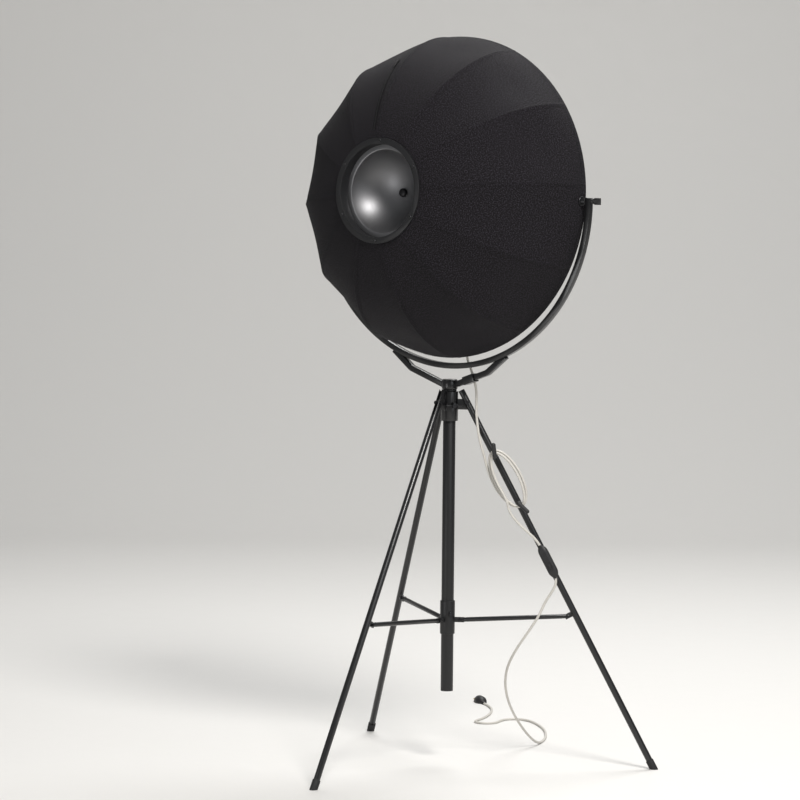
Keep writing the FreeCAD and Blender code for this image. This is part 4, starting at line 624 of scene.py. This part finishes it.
# Stitches: two rows beside each rib, one row round the hem that leaves the pivots free, and the lining's own.
stitches = {"aside": 0.0085, "seamPitch": 0.0052, "hemOut": 0.4093, "hemDepth": 0.0125, "hemDots": 240,
            "hemPitch": 0.006, "liningInset": 0.0094, "liningPitch": 0.0055}
seamTracks = []
for rib in range(dome["ribs"]):
    for aside in (-stitches["aside"], stitches["aside"]):
        seamTracks.append(ribTrack(rib * gore, -0.0001, 0.035, 0.955, 60, aside))
seamStitch = capsule("seamStitch", 0.00035, 0.0034)
seams = repeated("seamStitches", seamTracks, seamStitch, stitches["seamPitch"], blackThread)
rideOn(seams, "head")
hemTrack = []
for i in range(stitches["hemDots"] + 1):
    a = 2 * math.pi * i / stitches["hemDots"]
    hemTrack.append(headPlace @ Vector((stitches["hemOut"] * math.cos(a), stitches["hemOut"] * math.sin(a),
                                        stitches["hemDepth"] - dome["lead"])))
hemParts = [hemTrack[6:115], hemTrack[126:235]]  # the dots between the pivots, on either side
hemStitch = capsule("hemStitch", 0.0004, 0.0036)
hemStitches = repeated("hemStitches", hemParts, hemStitch, stitches["hemPitch"], blackThread)
rideOn(hemStitches, "head")
liningTracks = [ribTrack(rib * gore, stitches["liningInset"], 0.05, 0.93, 50) for rib in range(dome["ribs"])]
liningStitch = capsule("liningStitch", 0.0004, 0.003)
liningStitches = repeated("liningStitches", liningTracks, liningStitch, stitches["liningPitch"], whiteThread)
rideOn(liningStitches, "head")
print("stage: seams")

# The zip, straight up the flat gore beside the top rib. first and last are shares of the dome's profile.
zipSizes = {"wide": 0.011, "high": 0.0009, "stand": 0.0002, "first": 0.45, "last": 0.945,
            "turn": math.radians(281), "steps": 60, "teethSteps": 90, "teethStand": 0.0012,
            "toothPitch": 0.0019, "pullStand": 0.0023, "pullAt": 0.46}
zipFace = dome["turn"] + (math.floor((zipSizes["turn"] - dome["turn"]) / gore) + 0.5) * gore
zipAside = zipSizes["turn"] - zipFace
faceWay = Vector((math.cos(zipFace), math.sin(zipFace), 0))
acrossWay = Vector((-math.sin(zipFace), math.cos(zipFace), 0))


def zipPoint(t, side, lift):
    # A point at share t of the dome's profile, side metres off the zip's middle and lift above the cloth.
    depth = depthAt(t)
    flat = domeRadius(depth) * math.cos(gore / 2)
    lean = math.atan(dome["rim"] ** 2 * depth / (dome["deep"] ** 2 * domeRadius(depth)) * math.cos(gore / 2))
    share = 0.5 + zipAside / gore
    sunk = dome["sag"] * math.sin(math.pi * share) ** 1.5 * min(1.0, t * cloth["sagGrows"]) * 0.8
    spot = faceWay * (flat - sunk) + acrossWay * (flat * math.tan(zipAside) + side)
    spot += Vector((0, 0, depth - dome["lead"]))
    return headPlace @ (spot + (faceWay * math.cos(lean) + Vector((0, 0, math.sin(lean)))) * lift)


def zipShare(i, steps):
    return zipSizes["first"] + (zipSizes["last"] - zipSizes["first"]) * i / steps


zipShape = bmesh.new()
zipRows = []
halfProfile = [(-0.5, 0.0), (-0.48, 0.5), (-0.2, 0.75), (-0.16, 1.0)]  # shares of the tape's width and height
profile = halfProfile + [(-a, b) for a, b in reversed(halfProfile)]
for i in range(zipSizes["steps"] + 1):
    t = zipShare(i, zipSizes["steps"])
    spots = [zipPoint(t, a * zipSizes["wide"], zipSizes["stand"] + b * zipSizes["high"]) for a, b in profile]
    zipRows.append([zipShape.verts.new(spot) for spot in spots])
for a, b in zip(zipRows, zipRows[1:]):
    for i in range(len(profile)):
        j = (i + 1) % len(profile)
        zipShape.faces.new((a[i], a[j], b[j], b[i]))
zipShape.faces.new(zipRows[0])
zipShape.faces.new(list(reversed(zipRows[-1])))
placeOn(makePiece("zipTape", meshFrom(zipShape, "zipTape"), blackThread), "zip_tape", "black_fabric")


def makeBlock(name, size, bevel, material):
    shape = bmesh.new()
    bmesh.ops.create_cube(shape, size=1.0)
    for vert in shape.verts:
        vert.co = Vector((vert.co.x * size[0], vert.co.y * size[1], vert.co.z * size[2]))
    bmesh.ops.bevel(shape, geom=shape.edges[:], offset=bevel, segments=2, affect="EDGES", profile=0.5)
    mesh = bpy.data.meshes.new(name)
    shape.to_mesh(mesh)
    shape.free()
    return makePiece(name, mesh, material)


toothTrack = [zipPoint(zipShare(i, zipSizes["teethSteps"]), 0, zipSizes["teethStand"])
              for i in range(zipSizes["teethSteps"] + 1)]
tooth = makeBlock("zipTooth", (0.0042, 0.0007, 0.0009), 0.0002, blackPlastic)
teeth = repeated("zipTeeth", [toothTrack], tooth, zipSizes["toothPitch"], blackPlastic)
rideOn(teeth, "head")
pullPlace = zipPoint(zipSizes["pullAt"], 0, zipSizes["pullStand"])
pullAim = (zipPoint(zipSizes["pullAt"] + 0.04, 0, zipSizes["pullStand"]) - pullPlace).normalized()
pullSide = (headPlace.to_3x3() @ acrossWay).normalized()
pullTurn = Matrix((pullSide, pullAim.cross(pullSide), pullAim)).transposed().to_4x4()
pullParts = {"zipSlider": ((0.0078, 0.0022, 0.0095), 0.0), "zipPull": ((0.0052, 0.0012, 0.022), 0.014)}
for name, (size, ahead) in pullParts.items():
    part = makeBlock(name, size, 0.0005, blackSteel)
    part.data.transform(Matrix.Translation(pullPlace + pullAim * ahead) @ pullTurn)
    rideOn(part, "head")
print("stage: zip")

# The spun bowl inside the rear ring. Radii, and heights along the head's axis, in metres.
bowl = {"ball": 0.1102, "thick": 0.0015, "seat": 0.2753, "middle": 0.3055, "edge": 0.1167, "steps": 36,
        "bore": math.radians(1.6), "innerLip": math.radians(74.0), "outerLip": math.radians(73.8)}


def bowlPoint(radius, angle):
    return radius * math.sin(angle), bowl["middle"] - radius * math.cos(angle)


bowlOutline = [(bowl["edge"], bowl["seat"]), (bowl["edge"], bowl["seat"] + bowl["thick"]), (0.1075, 0.2768),
               (0.1058, 0.2765)]
for i in range(bowl["steps"] + 1):
    angle = bowl["innerLip"] + (bowl["bore"] - bowl["innerLip"]) * i / bowl["steps"]
    bowlOutline.append(bowlPoint(bowl["ball"] - bowl["thick"], angle))
for i in range(bowl["steps"] + 1):
    angle = bowl["bore"] + (bowl["outerLip"] - bowl["bore"]) * i / bowl["steps"]
    bowlOutline.append(bowlPoint(bowl["ball"], angle))
bowlPiece = lathe("rearBowl", bowlOutline, headPlace, 128, spunAluminium, closed=True)
placeOn(bowlPiece, "rear_bowl", "bowl_aluminium")
dress("hub_ring", ringDark, "dark_ring", bevel=0.0009)
dress("clamp_ring", ringDark, "dark_ring", bevel=0.0004)
dress("bowl_cap_nut", blackSteel, "steel", bevel=0.0008)

ringScrews = {"count": 6, "circle": 0.1255, "height": 0.3053}
screwOutline = [(0, 0.0009), (0.0009, 0.0009), (0.0010, 0.0024), (0.0022, 0.0022), (0.0034, 0.0014),
                (0.004, 0.0002), (0.004, 0), (0.002, 0), (0.002, -0.0098), (0.0014, -0.0108), (0, -0.0108)]
screwUnit = lathe("screwUnit", screwOutline, headPlace.to_3x3().to_4x4(), 20, blackSteel)
screwSpots = []
for i in range(ringScrews["count"]):
    a = 2 * math.pi * i / ringScrews["count"] + math.pi / 2
    out = ringScrews["circle"]
    screwSpots.append(headPlace @ Vector((out * math.cos(a), out * math.sin(a), ringScrews["height"])))
screws = repeated("ringScrews", [screwSpots], screwUnit, None, blackSteel)
placeOn(screws, "ring_screws", "steel")

# The lampholder, with its ridges, and the bulb below it on the head's axis.
holder = {"radius": 0.021, "ridges": 5, "firstRidge": 0.186, "ridgePitch": 0.0034, "grooveDeep": 0.0008}
holderOutline = [(0, 0.1953), (0.0285, 0.1953), (0.03, 0.1943), (0.03, 0.1928), (0.0285, 0.1923),
                 (0.0215, 0.1919), (holder["radius"], 0.1905)]
for ridge in range(holder["ridges"]):
    at = holder["firstRidge"] - ridge * holder["ridgePitch"]
    groove = holder["radius"] - holder["grooveDeep"]
    holderOutline += [(holder["radius"], at), (groove, at - 0.0006), (groove, at - 0.0014),
                      (holder["radius"], at - 0.002)]
holderOutline += [(holder["radius"], 0.1588), (0.0194, 0.158), (0.0194, 0.1565), (holder["radius"], 0.1555),
                  (holder["radius"], 0.1395), (0.0203, 0.1385), (0.0165, 0.1385), (0.0155, 0.1395),
                  (0.0155, 0.162), (0, 0.162)]
placeOn(lathe("lampHolder", holderOutline, headPlace, 48, blackPlastic), "lampholder", "black_plastic")

bulb = {"ball": 0.042, "middle": 0.0893, "steps": 26, "step": math.radians(5.2), "threads": 4,
        "firstThread": 0.1525, "threadPitch": 0.0026}
bulbOutline = [(0, bulb["middle"] - bulb["ball"])]
for i in range(1, bulb["steps"] + 1):
    a = bulb["step"] * i
    bulbOutline.append((bulb["ball"] * math.sin(a), bulb["middle"] - bulb["ball"] * math.cos(a)))
bulbOutline += [(0.0245, 0.1255), (0.0202, 0.132), (0.0168, 0.1375), (0.0146, 0.142), (0.0135, 0.1465),
                (0.013, 0.1515)]
for thread in range(bulb["threads"]):
    at = bulb["firstThread"] + thread * bulb["threadPitch"]
    bulbOutline += [(0.0124, at), (0.013, at + bulb["threadPitch"] / 2)]
bulbOutline += [(0.011, 0.1632), (0, 0.1634)]
placeOn(lathe("bulbGlobe", bulbOutline, headPlace, 64, frostedGlass), "bulb", "frosted_glass")

# The hoop, the pivots and the eyelets in the cloth round them.
dress("rim_hoop", blackPaint, "black_paint", bevel=0)
for side in ("left", "right"):
    dress("pivot_boss_" + side, blackSteel, "steel", bevel=0.0006)
    dress("thumb_screw_" + side, blackPlastic, "black_plastic", bevel=0.0013)
dress("pivot_washers", blackPlastic, "black_plastic", bevel=0.0004)
dress("cord_gland", blackPlastic, "black_plastic", bevel=0.0005)
eyeletOutline = [(0.0084, -0.0009), (0.0084, 0.0016), (0.0092, 0.0022), (0.0118, 0.0014), (0.0124, 0.0006),
                 (0.0124, -0.0009)]
eyeletOut = 0.4098  # from the lamp's axis to the cloth at the pivots
for name, sign in (("pivotEyelet1", -1), ("pivotEyelet3", 1)):
    outwards = Matrix.Rotation(sign * math.pi / 2, 4, "Y")
    eyeletPlace = Matrix.Translation((sign * eyeletOut, 0, lamp["pivotHeight"])) @ outwards
    rideOn(lathe(name, eyeletOutline, eyeletPlace, 40, blackSteel, closed=True), "head")
print("stage: head")

# Fork, mast and tripod: by slot, the finish and each node's edge rounding.
standNodes = {
    "black_paint": (blackPaint, {
        "yoke": 0.0011, "fork_arm_left": 0.0011, "fork_arm_right": 0.0011, "swivel_hub": 0.001,
        "swivel_cap": 0.0008, "leg_left": 0.0003, "leg_rear": 0.0003, "leg_right": 0.0003,
        "brace_left": 0.0003, "brace_rear": 0.0003, "brace_right": 0.0003, "tripod_hub": 0.0009,
        "cord_clip": 0.0005}),
    "dark_tube": (satinDark, {"column_tube": 0.0005, "brace_sleeve": 0.0006, "stop_ring": 0.0007}),
    "bright_tube": (brightTube, {"mast_tube": 0.0003}),
    "steel": (blackSteel, {
        "leg_bolts": 0.0004, "brace_inner_bolts": 0.0004, "brace_outer_bolts": 0.0004,
        "sleeve_set_screw": 0.0004, "clamp_screw": 0.0006, "tommy_bar": 0.0004, "swivel_spigot": 0.0004}),
    "black_plastic": (blackPlastic, {
        "column_end_plug": 0.0007, "mast_glide": 0.0004, "cleat_hook_lower": 0.0, "cleat_hook_upper": 0.0,
        "dimmer_slider": 0.0005}),
    "foot_rubber": (footRubber, {"foot_caps": 0.0012}),
}
for slotName, (material, nodes) in standNodes.items():
    for node, bevel in nodes.items():
        dress(node, material, slotName, bevel)
print("stage: stand")

# The dimmer: two rounded shells with a raised frame round the slider. Half sizes of the whole, in metres.
shell = {"halfWide": 0.0125, "halfThick": 0.011, "halfLong": 0.042, "gap": 0.0001, "squareness": 0.62,
         "straight": 0.024, "narrowing": 0.42, "rows": 48, "around": 24}
dimmerTurn = Matrix((legNormal, -legNear, legUp)).transposed().to_4x4()
dimmerPlace = Matrix.Translation(onLeg(dimmer["along"], dimmer["out"], dimmer["near"])) @ dimmerTurn


def dimmerScale(z):
    # The shell's share of its full section at z, narrower towards both ends.
    far = max(0.0, (abs(z) - shell["straight"]) / (shell["halfLong"] - shell["straight"]))
    return 1 - shell["narrowing"] * far ** 2.4


def dimmerHalf(name, sign):
    # sign is -1 on the side that faces the viewer.
    shape = bmesh.new()
    rows = []
    for i in range(shell["rows"] + 1):
        z = -shell["halfLong"] * math.cos(math.pi * i / shell["rows"])
        scale = dimmerScale(z)
        row = []
        for k in range(shell["around"] + 1):
            a = math.pi * k / shell["around"]
            c, n = math.cos(a), math.sin(a)
            x = shell["halfWide"] * scale * math.copysign(abs(c) ** shell["squareness"], c)
            rise = (shell["halfThick"] - 2 * shell["gap"]) * scale * abs(n) ** shell["squareness"]
            if k in (0, shell["around"]):
                x *= 0.985  # the groove where the halves meet
            row.append(shape.verts.new(dimmerPlace @ Vector((x, sign * (shell["gap"] + rise), z))))
        rows.append(row)
    for a, b in zip(rows, rows[1:]):
        for i in range(len(a)):
            j = (i + 1) % len(a)
            shape.faces.new((a[i], a[j], b[j], b[i]))
    shape.faces.new(rows[0])
    shape.faces.new(list(reversed(rows[-1])))
    return makePiece(name, meshFrom(shape, name), blackPlastic)


placeOn(dimmerHalf("dimmerBack", 1), "dimmer_shell_lower", "black_plastic")
placeOn(dimmerHalf("dimmerFront", -1), "dimmer_shell_upper", "black_plastic")
longBar, shortBar = (0.0014, 0.001, 0.046), (0.0118, 0.001, 0.0014)
bars = [(longBar, -0.0052, 0), (longBar, 0.0052, 0), (shortBar, 0, -0.0223), (shortBar, 0, 0.0223)]
for number, (size, x, z) in enumerate(bars):
    bar = makeBlock("dimmerFrame%d" % number, size, 0.0003, blackPlastic)
    bar.data.transform(dimmerPlace @ Matrix.Translation((x, -0.0112, z)))
    rideOn(bar, "tripod")
reliefOutline = [(0.0062, 0.0395), (0.0068, 0.0405), (0.0062, 0.0412), (0.0058, 0.0425), (0.0062, 0.0432),
                 (0.0054, 0.0446), (0.0057, 0.0453), (0.0049, 0.0466), (0.0035, 0.0468)]
for number, sign in enumerate((-1, 1)):
    outline = [(radius, sign * height) for radius, height in reliefOutline]
    relief = lathe("dimmerRelief%d" % number, outline, dimmerPlace, 28, blackPlastic)
    rideOn(relief, "tripod")
print("stage: dimmer")

# The floor sweeps up behind the lamp, away from the camera. Metres.
studio = {"near": -18.0, "curveStart": 5.0, "curveRadius": 2.5, "top": 11.0, "halfWide": 14, "curveSteps": 30,
          "worldColour": (0.78, 0.79, 0.8, 1), "worldStrength": 0.36}
sweepWay = Vector((camForward.x, camForward.y, 0)).normalized()
sweepSide = Vector((sweepWay.y, -sweepWay.x, 0))
sweep = [(studio["near"], 0.0), (studio["curveStart"], 0.0)]
for i in range(1, studio["curveSteps"] + 1):
    a = math.pi / 2 * i / studio["curveSteps"]
    sweep.append((studio["curveStart"] + studio["curveRadius"] * math.sin(a),
                  studio["curveRadius"] * (1 - math.cos(a))))
sweep.append((studio["curveStart"] + studio["curveRadius"], studio["top"]))
floorVerts = [tuple(sweepWay * far + sweepSide * side + Vector((0, 0, up)))
              for far, up in sweep for side in (-studio["halfWide"], studio["halfWide"])]
floorFaces = [(2 * i, 2 * i + 1, 2 * i + 3, 2 * i + 2) for i in range(len(sweep) - 1)]
floorMesh = bpy.data.meshes.new("floor")
floorMesh.from_pydata(floorVerts, [], floorFaces)
for poly in floorMesh.polygons:
    poly.use_smooth = True
floorPiece = bpy.data.objects.new("floor", floorMesh)
floorMesh.materials.append(paleFloor)
bpy.context.collection.objects.link(floorPiece)
world = bpy.data.worlds.new("studio")
bpy.context.scene.world = world
world.use_nodes = True
world.node_tree.nodes["Background"].inputs["Color"].default_value = studio["worldColour"]
world.node_tree.nodes["Background"].inputs["Strength"].default_value = studio["worldStrength"]


def softLight(name, spot, aim, size, power, colour=(1, 1, 1)):
    data = bpy.data.lights.new(name, "AREA")
    data.shape = "DISK"
    data.size = size
    data.energy = power
    data.color = colour
    light = bpy.data.objects.new(name, data)
    bpy.context.collection.objects.link(light)
    turn = (Vector(aim) - Vector(spot)).to_track_quat("-Z", "Y").to_matrix().to_4x4()
    light.matrix_world = Matrix.Translation(spot) @ turn


softLight("keyLight", (-3.0, 1.9, 4.6), (0, 0, 1.4), 1.4, 270, (1.0, 0.98, 0.95))
softLight("fillLight", (-5.0, 1.4, 2.2), (0, 0, 1.2), 2.6, 30, (0.93, 0.96, 1.0))
softLight("topLight", (0.8, -2.4, 4.8), (0.6, -1.2, 0.2), 2.6, 190)
softLight("lowLight", (0.4, 3.6, 0.5), (0, 0.3, 1.4), 1.0, 16)
print("stage: light")
